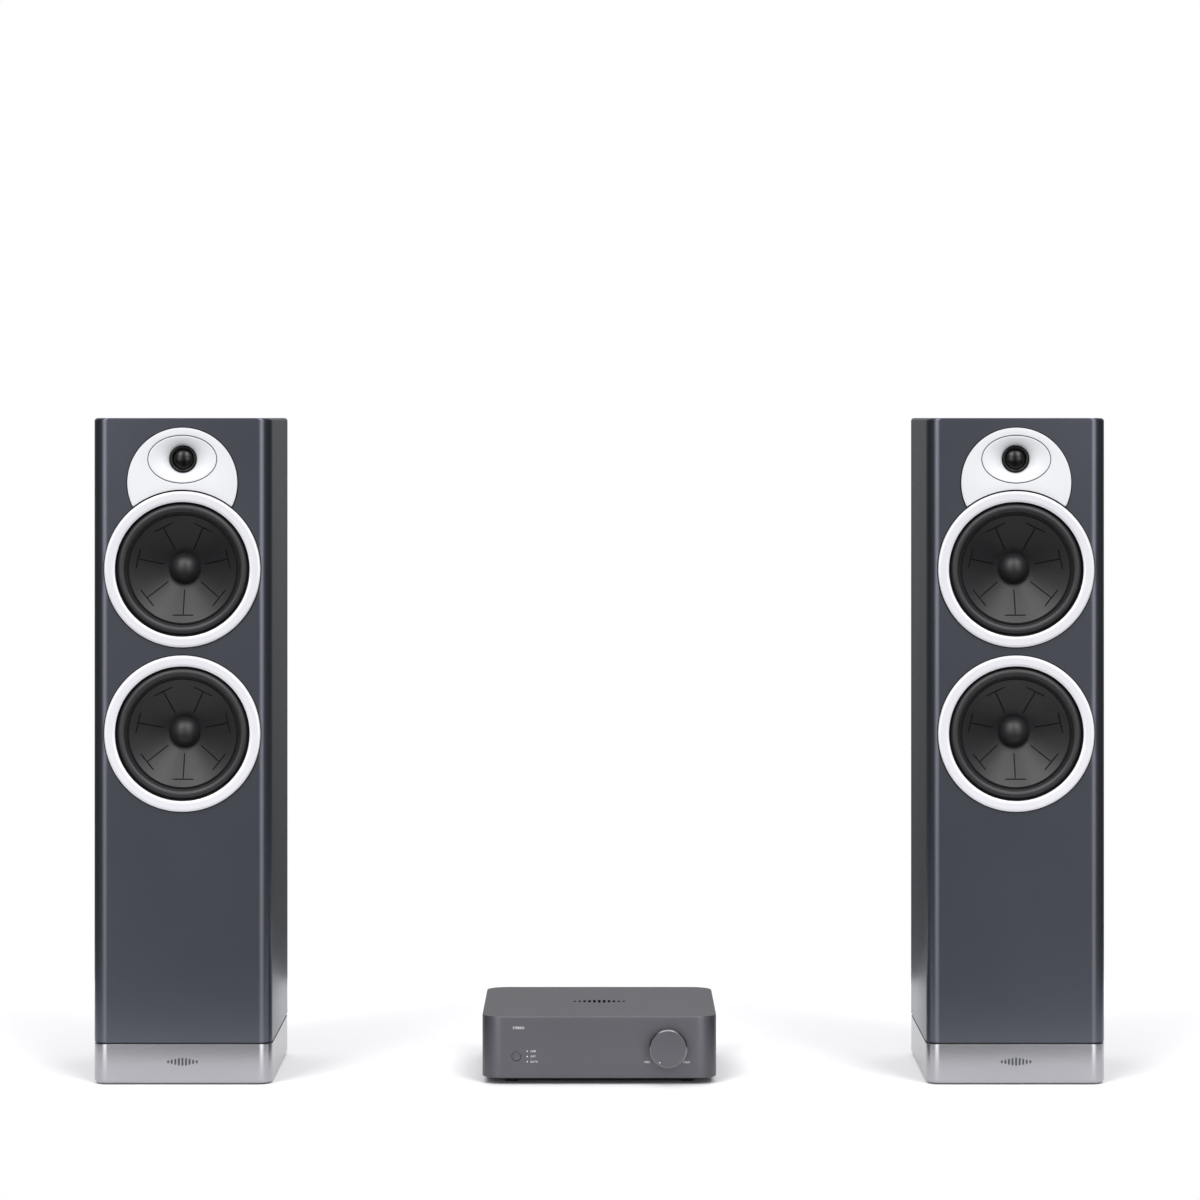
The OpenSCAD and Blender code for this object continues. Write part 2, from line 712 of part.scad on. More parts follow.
// Mains inlet with two pins in a round-ended well
module mains_inlet() color("#19191b") translate([inlet_x, panel_y, socket_z]) facing() {
    well_r = 3.7;
    well_half = 3.9;
    well_len = 14;
    difference() {
        union() {
            translate([-12, -8.5, -16]) cube([24, 17, 17]);
            translate([-13.5, -10, 0.05]) cube([27, 20, 1.2]);
        }
        translate([0, 0, -well_len]) linear_extrude(well_len + 2) {
            square([2 * well_half, 2 * well_r], center = true);
            for (x = [-1, 1]) translate([x * well_half, 0]) circle(well_r, $fn = round_fn);
        }
    }
    for (x = [-1, 1]) translate([x * 4.3, 0, -well_len - 0.5]) rod(1.18, 11);
}

// Two line sockets, an optical socket and a data socket
module signal_sockets() color("#3a3a3e") {
    barrel_r = 4.15;
    for (x = rca_x) translate([x, panel_y, socket_z]) facing() difference() {
        union() {
            translate([0, 0, -10]) rod(4.9, 10);
            translate([0, 0, 0.05]) rod(6.4, 1.5);
            translate([0, 0, -1]) rod(barrel_r, 11);
        }
        translate([0, 0, 2]) rod(1.7, 10);
    }
    difference() {
        block(optical_x, panel_y - 13, socket_z, 12, 14, 12);
        block(optical_x, panel_y - 9, socket_z, 8.6, 12, 8.6);
    }
    difference() {
        block(usb_x, panel_y - 9, socket_z, 11, 9.6, 5.2);
        block(usb_x, panel_y - 7, socket_z, 9, 10, 3.2);
    }
}

// Nodes -----------------------------------------------------------------------------------

for (side = SIDES) {
    name = side[0];
    at_speaker(side[1]) cabinet();
    at_speaker(side[1]) front_baffle();
    at_speaker(side[1]) base_plinth();
    at_speaker(side[1]) terminal_plate();
    at_speaker(side[1]) tweeter_plate();
    at_speaker(side[1]) tweeter_waveguide();
    at_speaker(side[1]) tweeter_dome();
    for (w = [["_upper_", upper_woofer_z], ["_lower_", lower_woofer_z]]) {
        at_speaker(side[1]) trim_ring(w[1]);
        at_speaker(side[1]) surround(w[1]);
        at_speaker(side[1]) cone(w[1]);
    }
    at_speaker(side[1]) at_speaker_post(1) post_nut("#a3222a");
    at_speaker(side[1]) at_speaker_post(-1) post_nut("#1f1f21");
}

at_both_speakers() port_tube();  // port_tubes
at_both_speakers() foot_pads();  // speaker_foot_pads
at_both_speakers() for (z = woofer_heights) basket(z);  // woofer_baskets
at_both_speakers() for (z = woofer_heights) motor(z);  // woofer_motors
at_both_speakers() for (z = woofer_heights) spider(z);  // woofer_spiders
at_both_speakers() tweeter_motor();  // tweeter_motors
at_both_speakers() crossover();  // crossover_boards
at_both_speakers() braces();  // cabinet_braces
at_both_speakers() for (x = [-1, 1])  // speaker_post_studs
        at_speaker_post(x) post_stud(rear_board_t + terminal_t);

at_amp() amp_case();
at_amp() amp_base();
at_amp() amp_rear_panel();
at_amp() amp_feet();
at_amp() amp_case_screws();
at_amp() volume_knob();
at_amp() volume_shaft();
at_amp() volume_potentiometer();
at_amp() power_button();
at_amp() front_board();
at_amp() indicator_lights();
at_amp() main_board();
at_amp() power_supply();
at_amp() heat_sink();
at_amp() mains_inlet();
at_amp() signal_sockets();
at_amp() for (column = post_columns) at_amp_post(column) post_stud(panel_t);  // amp_post_studs
for (column = post_columns) {
    colour = search("red", column[0]) ? "#a3222a" : "#1f1f21";
    at_amp() at_amp_post(column) post_nut(colour);
}
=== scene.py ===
"""Looks of a mini hi-fi set: a compact amplifier between two floor-standing speakers.

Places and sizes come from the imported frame. Local points are in millimetres: x to the right, y back
from the front and z up. A driver's profile is a list of (radius, depth behind the baffle's face).
"""

import json
import math

import bmesh
import bpy
from mathutils import Matrix, Vector


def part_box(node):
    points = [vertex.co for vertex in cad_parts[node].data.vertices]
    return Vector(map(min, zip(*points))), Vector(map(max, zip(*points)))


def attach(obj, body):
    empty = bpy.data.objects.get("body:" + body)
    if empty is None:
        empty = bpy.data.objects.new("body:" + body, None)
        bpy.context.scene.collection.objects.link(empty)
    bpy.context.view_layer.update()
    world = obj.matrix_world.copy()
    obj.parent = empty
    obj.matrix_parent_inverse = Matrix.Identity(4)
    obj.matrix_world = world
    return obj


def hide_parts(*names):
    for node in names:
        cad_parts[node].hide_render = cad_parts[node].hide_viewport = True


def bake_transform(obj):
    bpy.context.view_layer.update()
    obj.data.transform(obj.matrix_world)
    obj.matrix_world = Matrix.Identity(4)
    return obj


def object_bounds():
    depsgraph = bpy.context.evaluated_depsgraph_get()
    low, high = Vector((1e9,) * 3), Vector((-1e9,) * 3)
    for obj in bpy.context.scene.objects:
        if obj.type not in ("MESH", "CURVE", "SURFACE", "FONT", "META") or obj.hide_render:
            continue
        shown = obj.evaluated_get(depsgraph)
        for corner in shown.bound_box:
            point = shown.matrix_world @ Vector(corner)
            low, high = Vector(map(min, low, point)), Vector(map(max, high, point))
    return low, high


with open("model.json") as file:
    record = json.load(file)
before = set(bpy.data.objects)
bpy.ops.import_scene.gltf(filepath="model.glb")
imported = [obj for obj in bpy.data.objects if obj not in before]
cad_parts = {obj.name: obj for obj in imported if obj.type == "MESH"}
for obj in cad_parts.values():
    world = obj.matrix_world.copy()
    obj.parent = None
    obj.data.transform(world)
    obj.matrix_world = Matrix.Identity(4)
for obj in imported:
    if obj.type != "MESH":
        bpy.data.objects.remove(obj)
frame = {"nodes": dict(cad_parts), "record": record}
CAD_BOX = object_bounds()

MM = 0.001
SIDES = ("left", "right")
WOOFERS = ("upper", "lower")
TURN_STEPS = 144
SET = "set"


# Places from the frame -------------------------------------------------------------------------------


def low(node):
    """A CAD node's lowest corner, in millimetres."""
    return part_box(node)[0] / MM


def high(node):
    """A CAD node's highest corner, in millimetres."""
    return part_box(node)[1] / MM


def middle(node):
    return (low(node) + high(node)) / 2


def size(node):
    return high(node) - low(node)


FACE_Y = low("left_front_baffle").y
SPEAKER_W = size("left_cabinet").x
SPEAKER_D = high("left_cabinet").y - FACE_Y
BAFFLE_T = size("left_front_baffle").y


# Mesh helpers ----------------------------------------------------------------------------------------


def rounded(corners, steps=5):
    """A closed outline of (x, y, radius) corners as points, with each corner rounded to its radius."""
    points = []
    for i, (x, y, radius) in enumerate(corners):
        here = Vector((x, y))
        if radius == 0:
            points.append((x, y))
            continue
        back = Vector(corners[i - 1][:2]) - here
        ahead = Vector(corners[(i + 1) % len(corners)][:2]) - here
        half_turn = back.angle(ahead) / 2
        reach = radius / math.tan(half_turn)
        centre = here + (back.normalized() + ahead.normalized()).normalized() * radius / math.sin(half_turn)
        first = here + back.normalized() * reach - centre
        last = here + ahead.normalized() * reach - centre
        start = math.atan2(first.y, first.x)
        sweep = math.remainder(math.atan2(last.y, last.x) - start, math.tau)
        for k in range(steps + 1):
            angle = start + sweep * k / steps
            points.append((centre.x + radius * math.cos(angle), centre.y + radius * math.sin(angle)))
    return points


def arc(x, y, radius, start, end, steps):
    """Points of an arc about (x, y), from one angle in degrees to another."""
    angles = [math.radians(start + (end - start) * k / steps) for k in range(steps + 1)]
    return [(x + radius * math.cos(a), y + radius * math.sin(a)) for a in angles]


def mesh_object(name, points, faces):
    """A mesh object of points in millimetres, with smooth curves and crisp edges."""
    mesh = bpy.data.meshes.new(name)
    mesh.from_pydata([[c * MM for c in p] for p in points], [], faces)
    obj = bpy.data.objects.new(name, mesh)
    bpy.context.scene.collection.objects.link(obj)
    tidy(obj)
    return obj


def tidy(obj, crease=32):
    """Turns all faces outwards and shades them smooth, except across edges sharper than crease."""
    bm = bmesh.new()
    bm.from_mesh(obj.data)
    bmesh.ops.remove_doubles(bm, verts=bm.verts, dist=1e-7)
    bmesh.ops.recalc_face_normals(bm, faces=bm.faces)
    for face in bm.faces:
        face.smooth = True
    bm.to_mesh(obj.data)
    bm.free()
    obj.data.set_sharp_from_angle(angle=math.radians(crease))


def skin(name, rings, closed=False):
    """Joins rings of equally many points with faces. A closed one joins its last ring to its first."""
    count = len(rings[0])
    points = [p for ring in rings for p in ring]
    faces = []
    last = len(rings) if closed else len(rings) - 1
    for i in range(last):
        a = i * count
        b = (i + 1) % len(rings) * count
        for j in range(count):
            k = (j + 1) % count
            faces.append((a + j, a + k, b + k, b + j))
    if not closed:
        faces.append(tuple(reversed(range(count))))
        faces.append(tuple(range(len(points) - count, len(points))))
    return mesh_object(name, points, faces)


def lathe(name, profile, at, closed=True, steps=TURN_STEPS):
    """Turns (radius, depth) points about the line along y through at."""
    x, y, z = at
    points = []
    rows = []
    for radius, depth in profile:
        if radius < 1e-4:
            rows.append([len(points)] * steps)
            points.append((x, y + depth, z))
            continue
        rows.append(list(range(len(points), len(points) + steps)))
        for k in range(steps):
            a = math.tau * k / steps
            points.append((x + radius * math.cos(a), y + depth, z + radius * math.sin(a)))
    faces = []
    for a, b in zip(rows, rows[1:] + rows[:1] if closed else rows[1:]):
        for j in range(steps):
            k = (j + 1) % steps
            corners = list(dict.fromkeys((a[j], a[k], b[k], b[j])))
            if len(corners) > 2:
                faces.append(corners)
    return mesh_object(name, points, faces)


def plan(width, depth, front_r, back_r, inset=0.0, steps=12):
    """A rectangle with rounded corners seen from above, moved in by inset. y is 0 at its front."""
    x = width / 2 - inset
    y = depth - inset
    front = max(front_r - inset, 0.05)
    back = max(back_r - inset, 0.05)
    return rounded([(-x, inset, front), (x, inset, front), (x, y, back), (-x, y, back)], steps)


def round_levels(bottom, top, bottom_r, top_r, steps=5):
    """(height, inset) levels of a slab with a rounded lower and upper edge."""
    levels = []
    for k in range(steps + 1):
        a = math.pi / 2 * k / steps
        levels.append((bottom + bottom_r * (1 - math.sin(a)), bottom_r * (1 - math.cos(a))))
    levels.reverse()
    for k in range(steps + 1):
        a = math.pi / 2 * k / steps
        levels.append((top - top_r * (1 - math.sin(a)), top_r * (1 - math.cos(a))))
    return levels


def slab(name, outline, levels, at):
    """Stacks outline(inset) at each (height, inset) level. at is where its front's middle is, in x and y."""
    x, y = at
    return skin(name, [[(x + px, y + py, height) for px, py in outline(inset)] for height, inset in levels])


def panel(name, outline, levels, at):
    """As slab, but standing: the outline's y points up and the levels are (depth, inset)."""
    x, y, z = at
    return skin(name, [[(x + px, y + depth, z + pz) for px, pz in outline(inset)] for depth, inset in levels])


def box_tool(corner, opposite):
    """A block between two corners, to cut with."""
    (x0, y0, z0), (x1, y1, z1) = corner, opposite
    ring = [(x0, y0), (x1, y0), (x1, y1), (x0, y1)]
    return skin("tool", [[(x, y, z) for x, y in ring] for z in (z0, z1)])


def rod_tool(at, radius, start, end, across=None):
    """A round rod along y, or an oval one where across gives its other radius, to cut with."""
    x, y, z = at
    up = across or radius
    ring = [(radius * math.cos(a), up * math.sin(a)) for a in
            (math.tau * k / TURN_STEPS for k in range(TURN_STEPS))]
    return skin("tool", [[(x + px, y + depth, z + pz) for px, pz in ring] for depth in (start, end)])


def carve(obj, *tools):
    """Cuts the tools' shapes out of obj and removes the tools."""
    for tool in tools:
        cut = obj.modifiers.new("cut", "BOOLEAN")
        cut.operation = "DIFFERENCE"
        cut.solver = "EXACT"
        cut.object = tool
    graph = bpy.context.evaluated_depsgraph_get()
    mesh = bpy.data.meshes.new_from_object(obj.evaluated_get(graph))
    obj.modifiers.clear()
    obj.data = mesh
    for tool in tools:
        bpy.data.objects.remove(tool)
    tidy(obj)
    return obj


def joined(name, parts):
    """Several objects as one."""
    bm = bmesh.new()
    for part in parts:
        bm.from_mesh(part.data)
        bpy.data.objects.remove(part)
    mesh = bpy.data.meshes.new(name)
    bm.to_mesh(mesh)
    bm.free()
    obj = bpy.data.objects.new(name, mesh)
    bpy.context.scene.collection.objects.link(obj)
    tidy(obj)
    return obj


# Materials -------------------------------------------------------------------------------------------


def tone(*levels):
    """A colour given as screen levels from 0 to 255, in linear light."""
    shares = [level / 255 for level in levels]
    return [s / 12.92 if s <= 0.04045 else ((s + 0.055) / 1.055) ** 2.4 for s in shares]


def surface(name, colour, roughness, metallic=0.0, tint=0.05, patch=9.0, grain=1400.0, spread=0.04,
            bump=0.04, stretch=(1, 1, 1), detail=3.0, **sockets):
    """A procedural material. Its colour drifts softly, and a fine grain roughens and raises it."""
    material = bpy.data.materials.new(name)
    material.use_nodes = True
    tree = material.node_tree
    shader = tree.nodes["Principled BSDF"]
    shader.inputs["Metallic"].default_value = metallic
    for socket, value in sockets.items():
        shader.inputs[socket.replace("_", " ")].default_value = value
    place = tree.nodes.new("ShaderNodeTexCoord")
    frame_of = tree.nodes.new("ShaderNodeMapping")
    frame_of.inputs["Scale"].default_value = stretch
    tree.links.new(place.outputs["Object"], frame_of.inputs["Vector"])

    def noise(scale, levels):
        node = tree.nodes.new("ShaderNodeTexNoise")
        node.inputs["Scale"].default_value = scale
        node.inputs["Detail"].default_value = levels
        tree.links.new(frame_of.outputs["Vector"], node.inputs["Vector"])
        return node.outputs["Fac"]

    drift = noise(patch, 4.0)
    fine = noise(grain, detail)
    ramp = tree.nodes.new("ShaderNodeValToRGB")
    for element, share, position in zip(ramp.color_ramp.elements, (1 - tint, 1 + tint), (0.3, 0.7)):
        element.position = position
        element.color = [min(c * share, 1.0) for c in colour] + [1.0]
    tree.links.new(drift, ramp.inputs["Fac"])
    tree.links.new(ramp.outputs["Color"], shader.inputs["Base Color"])
    rough = tree.nodes.new("ShaderNodeMapRange")
    rough.inputs["To Min"].default_value = max(roughness - spread, 0.02)
    rough.inputs["To Max"].default_value = min(roughness + spread, 1.0)
    tree.links.new(fine, rough.inputs["Value"])
    tree.links.new(rough.outputs["Result"], shader.inputs["Roughness"])
    relief = tree.nodes.new("ShaderNodeBump")
    relief.inputs["Strength"].default_value = bump
    relief.inputs["Distance"].default_value = 0.0005
    tree.links.new(fine, relief.inputs["Height"])
    tree.links.new(relief.outputs["Normal"], shader.inputs["Normal"])
    return material


LOOKS = {
    "cabinet_finish": surface("slate_lacquer", tone(88, 91, 99), 0.3, 0.85, tint=0.03, bump=0.02),
    "silver_lacquer": surface("silver_lacquer", tone(167, 167, 171), 0.25, 0.95, tint=0.02, grain=2600),
    "white_plastic": surface("satin_white", tone(211, 212, 215), 0.34, tint=0.01, bump=0.01),
    "white_metal": surface("pearl_white", tone(213, 213, 217), 0.3, 0.1, tint=0.012, grain=2400, bump=0.02),
    "surround_rubber": surface("surround_rubber", tone(32, 32, 34), 0.46, tint=0.06, bump=0.05),
    "cone_paper": surface("coated_pulp", tone(23, 23, 25), 0.46, tint=0.12, patch=60, grain=900, bump=0.14),
    "dome_silk": surface("dome_silk", tone(6, 6, 7), 0.26, tint=0.08, grain=3000, bump=0.08,
                         Specular_IOR_Level=0.35),
    "foot_rubber": surface("foot_rubber", tone(22, 22, 23), 0.75, tint=0.08, bump=0.1),
    "basket_alloy": surface("cast_alloy", tone(60, 60, 63), 0.55, 0.5, grain=700, bump=0.2),
    "motor_steel": surface("zinc_plate", tone(170, 172, 176), 0.35, 1.0, stretch=(1, 30, 1)),
    "spider_cloth": surface("impregnated_cloth", tone(200, 160, 92), 0.8, tint=0.1, grain=2500, bump=0.4),
    "circuit_board": surface("circuit_board", tone(38, 96, 58), 0.45, tint=0.2, patch=120),
    "bare_board": surface("fibreboard", tone(178, 148, 108), 0.85, tint=0.1, patch=300, bump=0.3),
    "gold_contact": surface("gold_plate", tone(224, 184, 104), 0.2, 1.0, tint=0.03, bump=0.02),
    "red_plastic": surface("clear_red", tone(166, 22, 28), 0.22, tint=0.05, bump=0.02, Coat_Weight=0.3),
    "black_gloss": surface("gloss_black", tone(18, 18, 19), 0.22, tint=0.05, bump=0.02, Coat_Weight=0.3),
    "black_plastic": surface("moulded_black", tone(24, 24, 26), 0.55, tint=0.08, grain=2200, bump=0.15),
    "anodised_aluminium": surface("grey_anodised", tone(91, 90, 95), 0.46, 0.9, tint=0.02,
                                  grain=4200, bump=0.05),
    "bare_aluminium": surface("mill_finish", tone(190, 190, 194), 0.4, 1.0, stretch=(1, 1, 24)),
    "rear_panel_paint": surface("textured_paint", tone(34, 34, 36), 0.62, grain=1700, bump=0.35),
    "screw_steel": surface("plated_steel", tone(150, 150, 154), 0.32, 1.0, tint=0.03),
    "light_pipe": surface("light_pipe", tone(205, 205, 208), 0.25, tint=0.02, bump=0.01),
    "socket_metal": surface("nickel_plate", tone(186, 184, 178), 0.24, 1.0, tint=0.03),
}
PRINT_WHITE = surface("white_print", tone(200, 201, 204), 0.5, tint=0.03, grain=2000)
PRINT_DARK = surface("dark_print", tone(48, 50, 56), 0.5, tint=0.05, grain=2000)
INLAY = surface("dark_inlay", tone(17, 17, 19), 0.8, tint=0.06, bump=0.05, Specular_IOR_Level=0.0)
CUT_EDGE = surface("cut_edge", tone(132, 132, 136), 0.2, 1.0, tint=0.02, bump=0.01)
# Near-black that paints the shade of the cone's ribs and of the groove at the cone's edge
PAINTED_SHADE_BLACK = surface("painted_shade_black", tone(7, 7, 8), 0.6, tint=0.1, patch=60, grain=900, bump=0.15,
                    Specular_IOR_Level=0.15)
# Near-black for the rings that paint the shadow lines round the trim rings and the tweeter plate
PAINTED_SHADOW_LINES = surface("painted_shadow_line_black", tone(12, 12, 13), 0.7, tint=0.06, bump=0.1, Specular_IOR_Level=0.2)

for row in frame["record"]["subparts"]:
    cad_mesh = frame["nodes"][row["node"]].data
    cad_mesh.materials.clear()
    cad_mesh.materials.append(LOOKS[row["material_slot"]])


def fit(obj, body, slot, *nodes, look=None):
    """Gives a piece its look and its body, and hides the CAD nodes it stands for."""
    obj.data.materials.clear()
    obj.data.materials.append(look or LOOKS[slot])
    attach(obj, body)
    if nodes:
        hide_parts(*nodes)
    return obj


# Speaker cabinet -------------------------------------------------------------------------------------

BOARD_T = 15
REAR_BOARD_T = 18
PORT_HOLE_R = size("port_tubes").z / 2 - 8.8
PORT_Z = middle("port_tubes").z
TERMINAL_Z = middle("left_terminal_plate").z
EDGE_R = 18
CROWN_R = 4
REBATE_R = 92
REBATE_D = 6
CUTOUT_R = 78
WAVEGUIDE_D = high("left_tweeter_waveguide").y - FACE_Y


def crowned(bottom, top):
    """(height, (front inset, side inset)) levels: crisp edges, but for the rounded ones along the top's sides."""
    levels = [(bottom, (0.3, 0.3)), (bottom + 0.3, (0, 0))]
    for k in range(9):
        a = math.pi / 2 * k / 8
        height = top - CROWN_R * (1 - math.sin(a))
        levels.append((height, (max(0.0, 0.4 - (top - height)), CROWN_R * (1 - math.cos(a)))))
    return levels


def cabinet_shell(side, x):
    """The wrapped box behind the baffle, open at its front, with the port's and the terminals' holes."""
    bottom, top = low(f"{side}_cabinet").z, high(f"{side}_cabinet").z
    start = BAFFLE_T + 0.1
    depth = SPEAKER_D - start
    shell = slab(f"{side}_cabinet_shell",
                 lambda inset: plan(SPEAKER_W - 2 * inset[1], depth, 0.6, 1.6, inset[0], 4),
                 crowned(bottom, top), (x, FACE_Y + start))
    inner_x = SPEAKER_W / 2 - BOARD_T
    rear_y = FACE_Y + SPEAKER_D - REAR_BOARD_T
    carve(
        shell,
        box_tool((x - inner_x, FACE_Y, bottom + BOARD_T), (x + inner_x, rear_y, top - BOARD_T)),
        rod_tool((x, rear_y, PORT_Z), PORT_HOLE_R, -1, REAR_BOARD_T + 1),
        box_tool((x - 35.1, rear_y - 1, TERMINAL_Z - 20.1), (x + 35.1, rear_y + REAR_BOARD_T + 1,
                                                            TERMINAL_Z + 20.1)),
    )
    fit(shell, SET, "cabinet_finish", f"{side}_cabinet")


def baffle(side, x):
    """The front board with its rounded upright edges and the drivers' cut-outs."""
    node = f"{side}_front_baffle"
    board = slab(f"{side}_baffle_board",
                 lambda inset: plan(SPEAKER_W - 2 * inset[1], BAFFLE_T, EDGE_R, 0.6, inset[0], 20),
                 crowned(low(node).z, high(node).z), (x, FACE_Y))
    tools = []
    for woofer in WOOFERS:
        at = (x, FACE_Y, middle(f"{side}_{woofer}_cone").z)
        tools.append(rod_tool(at, REBATE_R, -1, REBATE_D))
        tools.append(rod_tool(at, CUTOUT_R, REBATE_D - 1, BAFFLE_T + 1))
    guide = middle(f"{side}_tweeter_waveguide")
    half = size(f"{side}_tweeter_waveguide") / 2
    at = (x, FACE_Y, guide.z)
    tools.append(rod_tool(at, half.x + 0.5, -1, WAVEGUIDE_D + 0.5, half.z + 0.8))
    tools.append(rod_tool(at, 29, WAVEGUIDE_D - 1, BAFFLE_T + 1))
    fit(carve(board, *tools), SET, "cabinet_finish", node)


def plinth(side, x):
    """The silver plinth with its rounded lower edge, and above it the recessed tongue in black, which paints the
    shadow gap.
    """
    node = f"{side}_base_plinth"
    bottom, top = low(node).z, high(node).z
    edge = top - 2.1

    def outline(inset):
        return plan(SPEAKER_W, SPEAKER_D, EDGE_R, 7, inset, 20)

    fit(slab(f"{side}_plinth_block", outline, round_levels(bottom, edge, 5.0, 0.5, steps=8), (x, FACE_Y)),
        SET, "silver_lacquer", node)
    # Painted shade: the recessed tongue is black to paint the shadow gap under the cabinet
    fit(slab(f"{side}_plinth_painted_shadow_gap", outline, [(edge - 0.1, 3.0), (top, 3.0)], (x, FACE_Y)),
        SET, "black_plastic")


def sound_bars(name, count, pitch, tallest, at, upright=True, depth=0.25):
    """A generic mark: a row of rounded bars of rising and falling height."""
    x, y, z = at
    bars = []
    for i in range(count):
        share = 0.35 + 0.65 * math.sin(math.pi * (i + 0.5) / count) ** 2
        half_h = tallest * share / 2
        half_w = pitch * 0.27
        corners = [(-half_w, -half_h, half_w * 0.98), (half_w, -half_h, half_w * 0.98),
                   (half_w, half_h, half_w * 0.98), (-half_w, half_h, half_w * 0.98)]
        ring = rounded(corners, 6)
        offset = (i - (count - 1) / 2) * pitch
        if upright:
            rings = [[(x + offset + px, y + d, z + pz) for px, pz in ring] for d in (0.1, -depth)]
        else:
            rings = [[(x + offset + px, y + py, z + d) for px, py in ring] for d in (-0.1, depth)]
        bars.append(skin("bar", rings))
    return joined(name, bars)


# Woofer ----------------------------------------------------------------------------------------------

RING_R = size("left_upper_trim_ring").x / 2
RING_TOP = FACE_Y - low("left_upper_trim_ring").y
RING_IN_R = 83.2
FLANGE_D = 2.5
CONE_EDGE_R = 66.8
CONE_R = size("left_upper_cone").x / 2
NECK_R = 16.3
CONE_DEPTH = 33
CAP_R = 19.4
CAP_H = 13
CONE_SLOPE = CONE_DEPTH / (CONE_EDGE_R - NECK_R)
ROLL_R = 75.5
COIL_END = high("left_upper_cone").y - FACE_Y


def cone_depth(radius):
    """Depth of the cone's front at a radius."""
    return FLANGE_D + (CONE_EDGE_R - radius) * CONE_SLOPE


def trim_ring(side, woofer, at):
    """The ring, and black rings that paint shade: a thin shadow line round the ring, and the shade of the groove
    inside it.
    """
    crest = -RING_TOP
    edge = RING_R - 0.4
    corners = [
        (edge, 0, 0), (edge, -1.9, 0.7), (edge - 0.5, crest + 0.8, 0.5), (edge - 3.0, crest, 3.0),
        (RING_IN_R + 3.0, crest, 3.0), (RING_IN_R, crest + 0.9, 0.6), (RING_IN_R, 1.3, 0.2),
        (REBATE_R - 0.4, 1.3, 0), (REBATE_R - 0.4, 0, 0),
    ]
    fit(lathe(f"{side}_{woofer}_ring", rounded(corners, 6), at, steps=192), SET, "white_metal",
        f"{side}_{woofer}_trim_ring")
    # Painted shade: a black ring round the trim ring paints its shadow line on the baffle, and a black liner
    # paints the shade of the groove inside it
    outside = lathe("shadow_line_piece", [(edge, 0), (edge, -0.9), (RING_R + 0.4, -0.9), (RING_R + 0.7, -0.6),
                               (RING_R + 0.7, 0)], at, steps=192)
    liner = lathe("shadow_line_piece", [(RING_IN_R, crest + 1.6), (RING_IN_R, 1.3), (RING_IN_R - 2.0, 1.3),
                             (RING_IN_R - 2.0, 0.6), (RING_IN_R - 0.8, crest + 1.8)], at, steps=192)
    fit(joined(f"{side}_{woofer}_ring_gaskets", [outside, liner]), SET, "foot_rubber", look=PAINTED_SHADOW_LINES)


def surround(side, woofer, at):
    """The rubber half roll between the basket and the cone."""
    outer = 5.6
    inner = 4.5
    front = [(REBATE_R - 2, 1.9), (ROLL_R + outer + 0.3, 1.9)] + arc(ROLL_R, 2.3, outer, -4, -176, 28)
    front += [(CONE_EDGE_R + 2.7, 2.4), (CONE_EDGE_R, 2.45)]
    back = [(CONE_EDGE_R + 3.0, 3.3)] + arc(ROLL_R, 2.5, inner, -176, -4, 28) + [(REBATE_R - 2, 2.45)]
    piece = lathe(f"{side}_{woofer}_half_roll", front + back, at, steps=192)
    piece.data.materials.append(LOOKS["surround_rubber"])
    body = f"{side}_{woofer}_cone_body"
    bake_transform(piece)
    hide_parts(f"{side}_{woofer}_surround")
    # Painted shade: a black bead along the cone's edge paints the dark groove between the half roll and the cone
    bead = lathe(f"{side}_{woofer}_groove_painted_shade", [(CONE_EDGE_R - 0.5, 2.7), (CONE_EDGE_R - 0.1, 2.2),
                                                (CONE_EDGE_R + 1.0, 2.0), (CONE_EDGE_R + 2.1, 2.2),
                                                (CONE_EDGE_R + 2.4, 2.45), (CONE_EDGE_R, 2.55)], at, steps=192)
    fit(bead, body, "surround_rubber", look=PAINTED_SHADE_BLACK)


def cone(side, woofer, at):
    """Cone, former and voice coil in one piece, and the dust cap on it."""
    wall = 1.2
    end = COIL_END
    corners = [
        (CONE_R, FLANGE_D + 0.1, 0.2), (CONE_EDGE_R, FLANGE_D, 0.6), (NECK_R - 0.5, cone_depth(NECK_R - 0.5), 0),
        (NECK_R - 0.5, end, 0), (NECK_R, end, 0), (NECK_R, end - 0.2, 0), (NECK_R + 0.6, end - 0.2, 0),
        (NECK_R + 0.6, end - 9, 0), (NECK_R, end - 9, 0), (NECK_R, FLANGE_D + CONE_DEPTH + wall, 0),
        (CONE_EDGE_R + 0.8, FLANGE_D + wall, 0.4), (CONE_R, FLANGE_D + wall, 0.3),
    ]
    dish = lathe("dish", rounded(corners, 4), at)
    base = cone_depth(CAP_R)
    ball = (CAP_R ** 2 + CAP_H ** 2) / (2 * CAP_H)
    reach = math.degrees(math.asin(CAP_R / ball))
    centre = base - CAP_H + ball
    profile = arc(0, centre, ball, -90, reach - 90, 22)
    profile += [(CAP_R + 0.5, base + 0.2), (CAP_R + 0.1, base + 0.8)]
    profile += arc(0, centre, ball - 0.9, reach - 92, -90, 22)
    profile[0] = (0, profile[0][1])
    profile[-1] = (0, profile[-1][1])
    cap = lathe("cap", profile, at, closed=False)
    fit(joined(f"{side}_{woofer}_cone_and_cap", [dish, cap]), f"{side}_{woofer}_cone_body", "cone_paper",
        f"{side}_{woofer}_cone")


